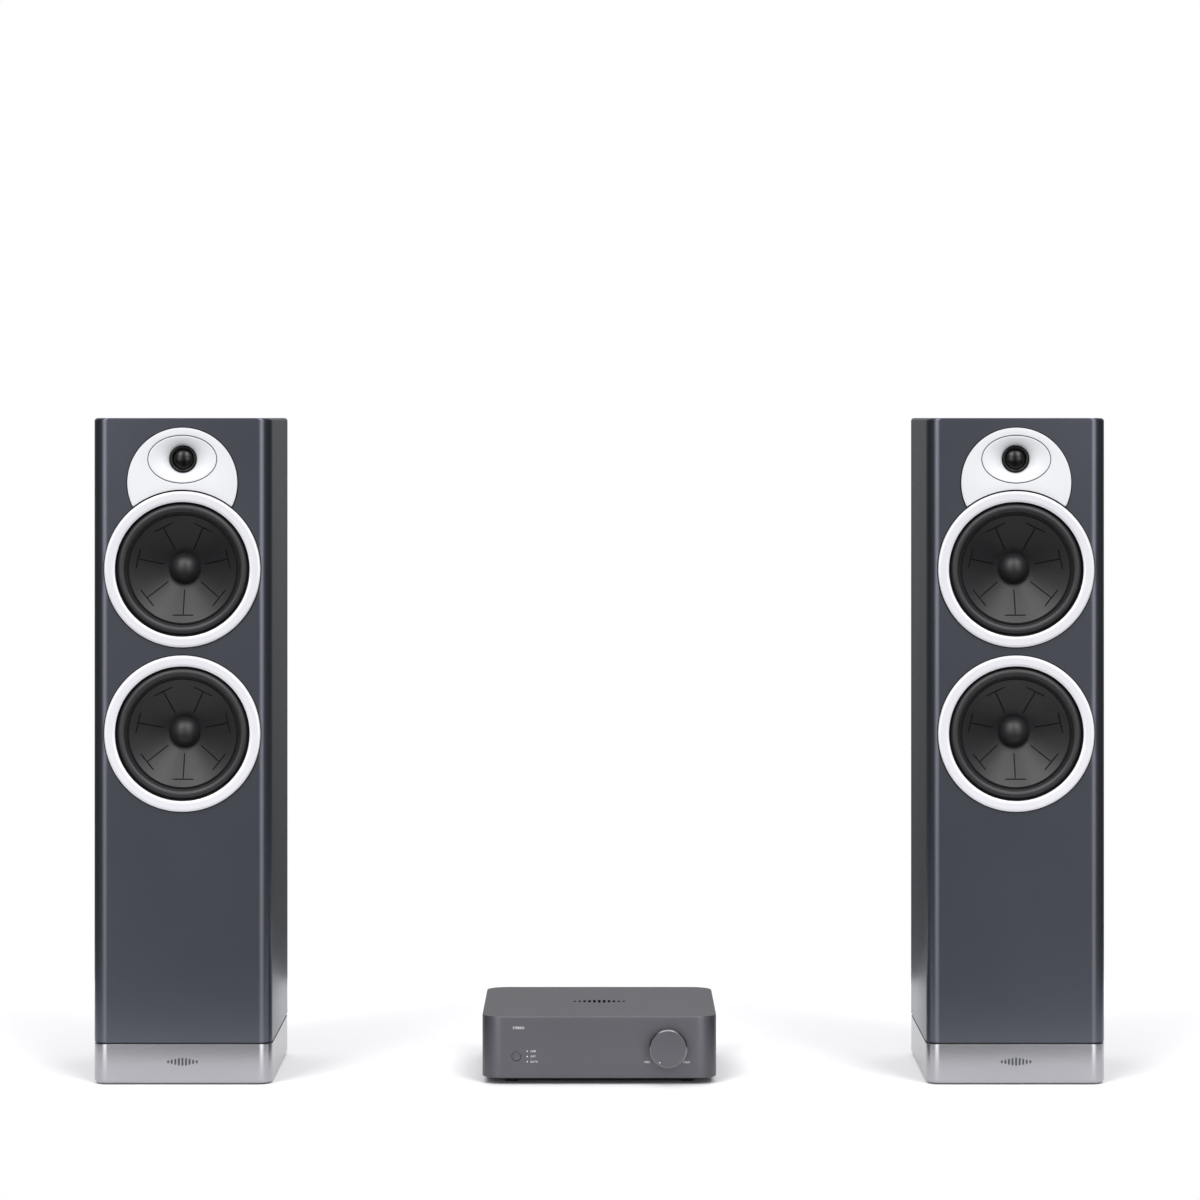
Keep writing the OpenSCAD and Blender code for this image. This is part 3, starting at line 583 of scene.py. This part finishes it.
def cone_ribs(side, woofer, at):
    """Seven T-shaped ribs pressed into the cone: a spoke, and a bar across its outer end. They are near-black, a
    painted shade.
    """
    x, y, z = at
    height = 0.55
    half_w = 0.85
    bars = []
    for k in range(7):
        turn = math.radians(-90 + k * 360 / 7)
        out = Vector((math.cos(turn), math.sin(turn)))
        along = Vector((-out.y, out.x))
        spoke = [(out * r, along) for r in [26 + 31 * i / 10 for i in range(11)]]
        cross = [(out * 57 + along * t, out) for t in [-13 + 26 * i / 10 for i in range(11)]]
        for path in (spoke, cross):
            rings = []
            for i, (centre, side_way) in enumerate(path):
                taper = min(1.0, 0.25 + min(i, len(path) - 1 - i) * 0.5)
                ring = []
                for across, rise in ((-1, -0.3), (-0.45, 1), (0.45, 1), (1, -0.3)):
                    p = centre + side_way * across * half_w
                    lift = rise * height * (taper if rise > 0 else 1)
                    ring.append((x + p.x, y + cone_depth(p.length) - lift, z + p.y))
                rings.append(ring)
            bars.append(skin("rib", rings))
    fit(joined(f"{side}_{woofer}_cone_ribs", bars), f"{side}_{woofer}_cone_body", "cone_paper",
        look=PAINTED_SHADE_BLACK)


# Tweeter ---------------------------------------------------------------------------------------------

PLATE_T = FACE_Y - low("left_tweeter_plate").y
THROAT_R = 17.2
DOME_R = 12.6
DOME_H = 4.6
DOME_D = 9.5


def tweeter_plate(side, x):
    """The round plate, with the oval hole and the bite round the upper trim ring."""
    node = f"{side}_tweeter_plate"
    radius = size(node).x / 2
    plate_z = high(node).z - radius
    ring_z = middle(f"{side}_upper_cone").z
    guide = middle(f"{side}_tweeter_waveguide")
    half = size(f"{side}_tweeter_waveguide") / 2
    bite = RING_R + 0.8
    steps = 360

    def reach(direction, centre_z, r, near):
        """How far a circle on the axis lies from the oval's middle, in a direction."""
        gap = centre_z - guide.z
        along = gap * direction.y
        inside = r * r - gap * gap + along * along
        if inside < 0:
            return math.inf
        return along - math.sqrt(inside) if near else along + math.sqrt(inside)

    def outline(inset):
        points = []
        for k in range(steps):
            way = Vector((math.cos(math.tau * k / steps), math.sin(math.tau * k / steps)))
            far = reach(way, plate_z, radius - inset, False)
            bitten = reach(way, ring_z, bite + inset, True) if way.y < 0 else math.inf
            distance = min(far, bitten if bitten > 0 else math.inf)
            points.append((way.x * distance, way.y * distance))
        return points

    def oval(inset):
        a, b = half.x + 0.5 + inset, half.z + 0.5 + inset
        points = []
        for k in range(steps):
            way = Vector((math.cos(math.tau * k / steps), math.sin(math.tau * k / steps)))
            distance = 1 / math.hypot(way.x / a, way.y / b)
            points.append((way.x * distance, way.y * distance))
        return points

    def band(name, rings):
        return skin(name, [[(x + px, FACE_Y + depth, guide.z + pz) for px, pz in ring]
                           for ring, depth in rings], closed=True)

    edge = 0.6
    seam = 0.6
    fillet = [(edge * (1 - math.cos(a)), -PLATE_T + edge * (1 - math.sin(a)))
              for a in (math.pi / 2 * k / 4 for k in range(5))]
    rings = [(outline(seam), 0)] + [(outline(seam + inset), depth) for inset, depth in fillet]
    rings += [(oval(inset), depth) for inset, depth in reversed(fillet)] + [(oval(0), 0)]
    fit(band(f"{side}_tweeter_faceplate", rings), SET, "white_plastic", node)
    # Painted shade: black rings paint the shadow lines round the plate and inside its oval hole
    lip = 0.6
    outer = band("shadow_line_piece", [(outline(seam), 0), (outline(seam), -1.0), (outline(0), -1.0),
                            (outline(-lip), -0.8), (outline(-lip), 0)])
    inner = band("shadow_line_piece", [(oval(0), 0), (oval(0), -PLATE_T + 0.25), (oval(-0.9), -PLATE_T + 0.25),
                            (oval(-0.9), 0)])
    fit(joined(f"{side}_tweeter_painted_shadow_lines", [outer, inner]), SET, "foot_rubber", look=PAINTED_SHADOW_LINES)


def waveguide(side, x):
    """The oval horn: a flush rim, a bowl that steepens inwards, and a round throat."""
    node = f"{side}_tweeter_waveguide"
    centre = middle(node)
    half = size(node) / 2 - Vector((0.3, 0, 0.45))
    rim = 1.0
    steps = 160
    sections = [(half.x, half.z, 0), (half.x, half.z, -PLATE_T + 0.5), (half.x - 0.15, half.z - 0.15,
                                                                       -PLATE_T + 0.15)]
    sections += [(half.x - 0.5, half.z - 0.5, -PLATE_T), (half.x - rim, half.z - rim, -PLATE_T)]
    bowl_steps = 18
    bowl_end = DOME_D - 2
    for k in range(1, bowl_steps + 1):
        share = k / bowl_steps
        shut = math.sin(share * math.pi / 2)
        sunk = 1 - math.cos(share * math.pi / 2)
        a = half.x - rim + (THROAT_R - half.x + rim) * shut
        b = half.z - rim + (THROAT_R - half.z + rim) * shut
        sections.append((a, b, -PLATE_T + (bowl_end + PLATE_T) * (0.35 * share + 0.65 * sunk)))
    sections += [(THROAT_R, THROAT_R, WAVEGUIDE_D), (half.x, half.z, WAVEGUIDE_D)]
    rings = []
    for a, b, depth in sections:
        rings.append([(x + a * math.cos(t), FACE_Y + depth, centre.z + b * math.sin(t))
                      for t in (math.tau * k / steps for k in range(steps))])
    fit(skin(f"{side}_waveguide_horn", rings, closed=True), SET, "white_plastic", node)


def dome(side, x):
    """Silk dome and its half roll."""
    node = f"{side}_tweeter_dome"
    at = (x, FACE_Y, middle(node).z)
    wall = 0.4
    ball = (DOME_R ** 2 + DOME_H ** 2) / (2 * DOME_H)
    reach = math.degrees(math.asin(DOME_R / ball))
    centre = DOME_D - DOME_H + ball
    edge = THROAT_R - 0.3
    roll = (edge + DOME_R) / 2
    roll_r = (edge - DOME_R) / 2
    profile = arc(0, centre, ball, -90, reach - 90, 20)
    profile += arc(roll, DOME_D, roll_r, -180, 0, 12)
    profile += arc(roll, DOME_D, roll_r - wall, 0, -180, 12)
    profile += [(DOME_R + 0.1, DOME_D + 7), (DOME_R - wall, DOME_D + 7)]
    profile += arc(0, centre, ball - wall, reach - 90, -90, 20)
    profile[0] = (0, profile[0][1])
    profile[-1] = (0, profile[-1][1])
    fit(lathe(f"{side}_silk_dome", profile, at, closed=False, steps=96), f"{side}_tweeter_dome_body",
        "dome_silk", node)


# Rear of a speaker -----------------------------------------------------------------------------------


def ports():
    """Both bass ports: a flanged tube with a wide flare at its mouth and a small one inside."""
    tubes = []
    for side in SIDES:
        start = low("port_tubes").y - FACE_Y
        end = high("port_tubes").y - FACE_Y
        flange_r = size("port_tubes").z / 2
        corners = [(25, start, 1.4), (28, start, 1.4), (28, SPEAKER_D, 0), (flange_r, SPEAKER_D, 0),
                   (flange_r, end, 1.0), (31.5, end, 0)]
        profile = rounded(corners, 4) + arc(31.2, end - 6.2, 6.2, 90, 180, 10)
        at = (middle(f"{side}_cabinet").x, FACE_Y, PORT_Z)
        tubes.append(lathe("tube", profile, at))
    fit(joined("bass_ports", tubes), SET, "black_plastic", "port_tubes")


def terminal_plate(side, x):
    node = f"{side}_terminal_plate"
    half = size(node) / 2
    outside = high(node).y - FACE_Y
    centre = middle(node)
    at = (x, FACE_Y, centre.z)

    def outline(inset):
        w, h, r = half.x - inset, half.z - inset, 5 - inset
        return rounded([(-w, -h, r), (w, -h, r), (w, h, r), (-w, h, r)], 8)

    levels = [(SPEAKER_D, 0), (outside - 1.2, 0), (outside - 0.5, 0.25), (outside - 0.1, 0.8), (outside, 1.4)]
    plate = panel("plate", outline, levels, at)
    boss = box_tool((x - 35, FACE_Y + SPEAKER_D - REAR_BOARD_T, centre.z - 20),
                    (x + 35, FACE_Y + SPEAKER_D + 0.5, centre.z + 20))
    posts = [middle(f"{side}_{colour}_post_nut").x for colour in ("red", "black")]
    dish = panel("tool", lambda inset: rounded([(-31 + inset, -19 + inset, 4), (31 - inset, -19 + inset, 4),
                                                (31 - inset, 19 - inset, 4), (-31 + inset, 19 - inset, 4)], 8),
                 [(outside - 0.8, 1.2), (outside + 1, -0.6)], at)
    bored = []
    for part in (plate, boss):
        tools = [rod_tool((post_x, FACE_Y, centre.z), 3.1, SPEAKER_D - 30, outside + 5) for post_x in posts]
        if part is plate:
            tools.append(dish)
        bored.append(carve(part, *tools))
    fit(joined(f"{side}_terminal_panel", bored), SET, "black_plastic", node)
    screws = []
    for sx in (-1, 1):
        for sz in (-1, 1):
            place = (x + sx * (half.x - 8), FACE_Y + outside, centre.z + sz * (half.z - 8))
            head = lathe("screw", rounded([(0.0, -0.8, 0), (3.1, -0.8, 0), (3.1, 0.1, 0.3), (2.0, 0.7, 0.8),
                                           (0.0, 0.7, 0)], 4), place, closed=False, steps=32)
            slot_tools = [box_tool((place[0] - w, place[1] + 0.2, place[2] - h),
                                   (place[0] + w, place[1] + 2, place[2] + h))
                          for w, h in ((1.7, 0.35), (0.35, 1.7))]
            screws.append(carve(head, *slot_tools))
    fit(joined(f"{side}_terminal_screws", screws), SET, "screw_steel")


def ridged(radius, count=24, rise=0.35, steps=192):
    """A round outline with fine ridges, for a finger grip."""
    points = []
    for k in range(steps):
        a = math.tau * k / steps
        r = radius - rise * (0.5 - 0.5 * math.cos(a * count)) ** 1.5
        points.append((r * math.cos(a), r * math.sin(a)))
    return points


def post_nut(node, body, slot):
    """A terminal's nut: ridged round its side, with a smooth collar and a through hole for the post."""
    centre = middle(node)
    start, end = low(node).y, high(node).y
    outer = size(node).x / 2
    steps = 192
    bore = [(3.1 * math.cos(math.tau * k / steps), 3.1 * math.sin(math.tau * k / steps)) for k in range(steps)]

    def circle(r):
        return [(r * math.cos(math.tau * k / steps), r * math.sin(math.tau * k / steps)) for k in range(steps)]

    sections = [(circle(outer - 0.5), start), (circle(outer - 0.1), start + 0.4), (circle(outer), start + 1.0),
                (circle(outer), start + 2.6), (circle(outer - 0.5), start + 3.0)]
    sections += [(ridged(outer, 24), start + 3.4), (ridged(outer, 24), end - 1.6),
                 (ridged(outer - 0.25, 24), end - 0.9), (circle(outer - 0.9), end - 0.3),
                 (circle(outer - 1.6), end), (circle(4.6), end), (circle(4.2), end - 0.6),
                 (circle(3.6), end - 0.6), (bore, end - 1.0), (bore, start)]
    rings = [[(centre.x + px, y, centre.z + pz) for px, pz in ring] for ring, y in sections]
    fit(skin(f"{node}_grip", rings, closed=True), body, slot, node)


# Amplifier -------------------------------------------------------------------------------------------

AMP_W = size("amp_case").x
AMP_D = size("amp_case").y
AMP_BOTTOM = low("amp_case").z
AMP_TOP = high("amp_case").z
CORNER_R = 26
CASE_T = 3
CASE_TOP_T = 3.5
KNOB = middle("volume_knob")
BUTTON = middle("power_button")
LIGHTS = middle("indicator_lights")
LIGHT_PITCH = (size("indicator_lights").z - size("indicator_lights").x) / 2
LIGHT_HEIGHTS = [LIGHTS.z + i * LIGHT_PITCH for i in (1, 0, -1)]


def amp_case():
    """The case: a hollow shell with a fine rounded rim, and the holes of its front and rear."""
    shell = slab("amp_shell", lambda inset: plan(AMP_W, AMP_D, CORNER_R, CORNER_R, inset, 16),
                 round_levels(AMP_BOTTOM, AMP_TOP, 1.0, 1.3, steps=6), (0, FACE_Y))
    inner = slab("tool", lambda inset: plan(AMP_W - 2 * CASE_T, AMP_D - 2 * CASE_T, CORNER_R - CASE_T,
                                            CORNER_R - CASE_T, inset, 16),
                 [(AMP_BOTTOM - 1, 0), (AMP_TOP - CASE_TOP_T, 0)], (0, FACE_Y + CASE_T))
    front_holes = [(KNOB.x, KNOB.z, 4.1), (BUTTON.x, BUTTON.z, 5.9)]
    front_holes += [(LIGHTS.x, height, 0.9) for height in LIGHT_HEIGHTS]
    tools = [inner] + [rod_tool((x, FACE_Y, z), r, -1, CASE_T + 1) for x, z, r in front_holes]
    opening_lo, opening_hi = low("amp_rear_panel"), high("amp_rear_panel")
    gap = 0.2
    tools.append(box_tool((opening_lo.x - gap, FACE_Y + AMP_D - CASE_T - 1, opening_lo.z - gap),
                          (opening_hi.x + gap, FACE_Y + AMP_D + 1, opening_hi.z + gap)))
    fit(carve(shell, *tools), SET, "anodised_aluminium", "amp_case")


def volume_knob():
    """The knob: a flat face, a bright turned chamfer and a hollow back."""
    depth = size("volume_knob").y
    radius = size("volume_knob").x / 2
    front = low("volume_knob").y
    profile = [(0, 0.06), (radius - 3.0, 0.06), (radius - 2.6, 0), (radius - 1.55, 0.02), (radius - 1.4, 0.1),
               (radius - 0.1, 1.4), (radius, 1.6)]
    profile += [(radius, depth - 0.6), (radius - 0.5, depth), (radius - 3, depth), (radius - 3, depth - 5),
                (7, depth - 5), (7, depth), (3.02, depth), (3.02, depth - 11), (0, depth - 11)]
    knob = lathe("volume_dial", profile, (KNOB.x, front, KNOB.z), closed=False, steps=192)
    fit(knob, "volume_knob_body", "anodised_aluminium", "volume_knob")
    knob.data.materials.append(CUT_EDGE)
    for face in knob.data.polygons:
        if 0.15 < face.center.y / MM - front < 1.3 and math.hypot(face.center.x / MM - KNOB.x,
                                                                  face.center.z / MM - KNOB.z) > radius - 1.5:
            face.material_index = 1
    turn = math.radians(211.6)
    dot_r = 20.0
    at = (KNOB.x + dot_r * math.sin(turn), front, KNOB.z + dot_r * math.cos(turn))
    dot = lathe("volume_mark", [(0, 0), (0.6, 0), (0.75, 0.05), (0.75, 0.3), (0, 0.3)], at,
                closed=False, steps=32)
    fit(dot, "volume_knob_body", "light_pipe", look=PRINT_WHITE)


def power_button():
    node = "power_button"
    radius = 5.5
    profile = [(0, 0.12), (radius - 1.5, 0.08), (radius - 0.7, 0), (radius - 0.25, 0.08), (radius, 0.35),
               (radius, 3.3), (6.8, 3.3), (6.8, 4.6), (1.5, 4.6), (1.5, 7.6), (0, 7.6)]
    fit(lathe("power_key", profile, (BUTTON.x, low(node).y, BUTTON.z), closed=False, steps=96),
        "power_button_body", "anodised_aluminium", node)


def amp_feet():
    """Four rubber feet with a rounded lower edge and a shallow hollow."""
    node = "amp_feet"
    top = high(node).z
    radius = 7.5
    ring_x = high(node).x - radius
    front = low(node).y + radius
    back = high(node).y - radius
    profile = [(0, 0.8), (4.2, 0.8), (4.6, 0.1), (5.0, 0), (radius - 0.8, 0), (radius - 0.2, 0.25),
               (radius, 0.9), (radius, top), (0, top)]
    feet = []
    for x in (-ring_x, ring_x):
        for y in (front, back):
            foot = lathe("foot", profile, (0, 0, 0), closed=False, steps=64)
            foot.data.transform(Matrix.Translation((x * MM, y * MM, 0)) @ Matrix.Rotation(math.pi / 2, 4, "X"))
            feet.append(foot)
    fit(joined("amp_rubber_feet", feet), SET, "foot_rubber", node)


def phono_sockets():
    """The coloured insulators inside the two phono sockets."""
    panel_y = high("amp_rear_panel").y
    for name, x, slot in (("left", -8, "light_pipe"), ("right", 10, "red_plastic")):
        insert = lathe(f"line_in_{name}_insulator",
                       [(1.75, 9.0), (1.75, 10.3), (3.6, 10.3), (3.9, 10.02), (3.9, 9.9), (3.9, 9.0)],
                       (x, panel_y, middle("signal_sockets").z), steps=64)
        fit(insert, SET, slot)


# Lettering -------------------------------------------------------------------------------------------


def label(name, text, height, at, rear=False, left=False, body=SET, look=PRINT_WHITE):
    """Generic words printed on a face: height is a capital's, in millimetres."""
    curve = bpy.data.curves.new(name, "FONT")
    curve.body = text
    curve.size = height / 0.7 * MM
    curve.align_x = "LEFT" if left else "CENTER"
    curve.align_y = "CENTER"
    curve.extrude = 0.03 * MM
    text_object = bpy.data.objects.new("text", curve)
    bpy.context.scene.collection.objects.link(text_object)
    graph = bpy.context.evaluated_depsgraph_get()
    graph.update()
    mesh = bpy.data.meshes.new_from_object(text_object.evaluated_get(graph))
    bpy.data.objects.remove(text_object)
    turn = Matrix.Rotation(math.pi, 4, "Z") if rear else Matrix.Identity(4)
    place = Matrix.Translation(Vector(at) * MM)
    mesh.transform(place @ turn @ Matrix.Rotation(math.pi / 2, 4, "X"))
    obj = bpy.data.objects.new(name, mesh)
    bpy.context.scene.collection.objects.link(obj)
    return fit(obj, body, "light_pipe", look=look)


def front_labels():
    print_y = FACE_Y - 0.02
    label("label_amplifier", "STEREO", 2.9, (BUTTON.x - 4.5, print_y, 70.2), left=True)
    for word, height in zip(("LINE", "OPT", "DATA"), LIGHT_HEIGHTS):
        label(f"label_{word.lower()}", word, 2.3, (LIGHTS.x + 4, print_y, height), left=True)
    label("label_min", "MIN", 2.6, (KNOB.x - 26.0, print_y, 27.9))
    label("label_max", "MAX", 2.6, (KNOB.x + 22.8, print_y, 27.9))


def rear_labels():
    print_y = high("amp_rear_panel").y + 0.02
    words = [("speaker_right", "RIGHT", -94.5, 62), ("speaker_left", "LEFT", -50.5, 62),
             ("line_in", "LINE IN", 1, 62), ("optical_in", "OPT", 34, 62), ("data_in", "DATA", 58, 62),
             ("mains_in", "MAINS", 98, 62)]
    for name, word, x, z in words:
        label(f"label_{name}", word, 3.0, (x, print_y, z), rear=True)
    for node, sign in (("amp_right_black_nut", "-"), ("amp_right_red_nut", "+"),
                       ("amp_left_black_nut", "-"), ("amp_left_red_nut", "+")):
        label(f"label_{node}", sign, 4.0, (middle(node).x, print_y, 30), rear=True)
    for side in SIDES:
        plate_y = high(f"{side}_terminal_plate").y + 0.02
        for colour, sign in (("red", "+"), ("black", "-")):
            at = middle(f"{side}_{colour}_post_nut")
            label(f"label_{side}_{colour}", sign, 4.5, (at.x, plate_y, at.z + 24), rear=True)


# Building --------------------------------------------------------------------------------------------

for side in SIDES:
    speaker_x = middle(f"{side}_cabinet").x
    cabinet_shell(side, speaker_x)
    baffle(side, speaker_x)
    plinth(side, speaker_x)
    mark = sound_bars(f"{side}_plinth_mark", 9, 4.4, 10, (speaker_x, FACE_Y, 28.5))
    fit(mark, SET, "silver_lacquer", look=PRINT_DARK)
    for woofer in WOOFERS:
        axis = (speaker_x, FACE_Y, middle(f"{side}_{woofer}_cone").z)
        trim_ring(side, woofer, axis)
        surround(side, woofer, axis)
        cone(side, woofer, axis)
        cone_ribs(side, woofer, axis)
    tweeter_plate(side, speaker_x)
    waveguide(side, speaker_x)
    dome(side, speaker_x)
    terminal_plate(side, speaker_x)
    post_nut(f"{side}_red_post_nut", f"{side}_red_nut_body", "red_plastic")
    post_nut(f"{side}_black_post_nut", f"{side}_black_nut_body", "black_gloss")
ports()
amp_case()
volume_knob()
power_button()
amp_feet()
phono_sockets()
for channel in ("left", "right"):
    for colour, slot in (("red", "red_plastic"), ("black", "black_gloss")):
        post_nut(f"amp_{channel}_{colour}_nut", f"amp_{channel}_{colour}_nut_body", slot)
fit(sound_bars("amp_top_mark", 11, 6.2, 26, (0, FACE_Y + AMP_D / 2, AMP_TOP), upright=False, depth=0.05),
    SET, "black_gloss", look=INLAY)
front_labels()
rear_labels()


# Studio ----------------------------------------------------------------------------------------------

# Brightness round the room, as (degrees from the front, level)
RING = ((0, 0.45), (11, 0.45), (22, 5.8), (34, 5.8), (50, 0.1), (112, 0.08), (138, 0.4), (158, 0.5), (172, 0.3))
# Share of the overhead light, and how the ring's level grows with height, as (degrees of height, share)
OVERHEAD_SHARE = ((46, 0.0), (68, 1.0))
RING_SHARE = ((-14, 0.06), (7, 0.75), (17, 0.42), (38, 1.6))
OVERHEAD = 2.0
# A broad light high behind the set: its share by degrees from the front, and by degrees of height
BACK_ASIDE = ((110, 0.0), (158, 1.0))
BACK_HEIGHT = ((4, 0.0), (26, 1.0))
BACK_LIGHT = 0.55
BRIGHTEST = 6.0


def studio_world():
    """A soft studio: two broad upright lights at the front's sides, a large one overhead, a dim room."""
    world = bpy.data.worlds.new("studio")
    bpy.context.scene.world = world
    world.use_nodes = True
    tree = world.node_tree
    tree.nodes.clear()

    def maths(operation, *values):
        node = tree.nodes.new("ShaderNodeMath")
        node.operation = operation
        for socket, value in zip(node.inputs, values):
            if isinstance(value, bpy.types.NodeSocket):
                tree.links.new(value, socket)
            else:
                socket.default_value = value
        return node.outputs[0]

    def ramp(value, stops, lowest, highest, scale):
        node = tree.nodes.new("ShaderNodeValToRGB")
        node.color_ramp.interpolation = "EASE"
        elements = node.color_ramp.elements
        while len(elements) < len(stops):
            elements.new(0.5)
        for element, (place, level) in zip(elements, stops):
            element.position = (place - lowest) / (highest - lowest)
            element.color = [level / scale] * 3 + [1]
        tree.links.new(value, node.inputs["Fac"])
        return maths("MULTIPLY", node.outputs["Color"], scale)

    place = tree.nodes.new("ShaderNodeTexCoord")
    split = tree.nodes.new("ShaderNodeSeparateXYZ")
    tree.links.new(place.outputs["Generated"], split.inputs["Vector"])
    x, y, z = split.outputs
    aside = maths("ARCTAN2", maths("ABSOLUTE", x), maths("MULTIPLY", y, -1.0))
    height = maths("ADD", maths("DIVIDE", maths("ARCSINE", z), math.pi), 0.5)
    ring = ramp(maths("DIVIDE", aside, math.pi), RING, 0, 180, BRIGHTEST)
    rise = ramp(height, RING_SHARE, -90, 90, 2)
    share = ramp(height, OVERHEAD_SHARE, -90, 90, 1)
    back = maths("MULTIPLY", ramp(maths("DIVIDE", aside, math.pi), BACK_ASIDE, 0, 180, 1),
                 ramp(height, BACK_HEIGHT, -90, 90, 1))
    walls = maths("MULTIPLY_ADD", back, BACK_LIGHT, maths("MULTIPLY", ring, rise))
    round_the_room = maths("MULTIPLY", walls, maths("SUBTRACT", 1.0, share))
    level = maths("MULTIPLY_ADD", share, OVERHEAD, round_the_room)
    room = tree.nodes.new("ShaderNodeBackground")
    tree.links.new(level, room.inputs["Strength"])
    room.inputs["Color"].default_value = (1.0, 1.0, 1.01, 1)
    backdrop = tree.nodes.new("ShaderNodeBackground")
    backdrop.inputs["Color"].default_value = (1, 1, 1, 1)
    seen = tree.nodes.new("ShaderNodeLightPath")
    either = tree.nodes.new("ShaderNodeMixShader")
    tree.links.new(seen.outputs["Is Camera Ray"], either.inputs["Fac"])
    tree.links.new(room.outputs["Background"], either.inputs[1])
    tree.links.new(backdrop.outputs["Background"], either.inputs[2])
    out = tree.nodes.new("ShaderNodeOutputWorld")
    tree.links.new(either.outputs["Shader"], out.inputs["Surface"])


studio_world()

FLOOR_HALF_W = 1200
FLOOR_FRONT = -450
FLOOR_BACK = 900
floor = mesh_object("floor", [(-FLOOR_HALF_W, FLOOR_FRONT, 0), (FLOOR_HALF_W, FLOOR_FRONT, 0),
                              (FLOOR_HALF_W, FLOOR_BACK, 0), (-FLOOR_HALF_W, FLOOR_BACK, 0)], [(0, 1, 2, 3)])
floor.data.materials.append(surface("pale_floor", tone(232, 232, 233), 0.7, tint=0.004, patch=0.5, bump=0.0))

LENS = 135.0
SENSOR = 36.0
VIEW_DISTANCE = 5.56
camera_data = bpy.data.cameras.new("camera")
camera_data.lens = LENS
camera_data.sensor_width = SENSOR
camera_data.shift_x = 0.0006
camera_data.shift_y = -0.1517
camera_data.clip_end = 500.0
camera = bpy.data.objects.new("camera", camera_data)
camera.location = (0.0, FACE_Y * MM - VIEW_DISTANCE, CAD_BOX[1].z)
camera.rotation_euler = (math.pi / 2, 0, 0)
bpy.context.scene.collection.objects.link(camera)
bpy.context.scene.camera = camera
bpy.context.scene.view_settings.view_transform = "Standard"
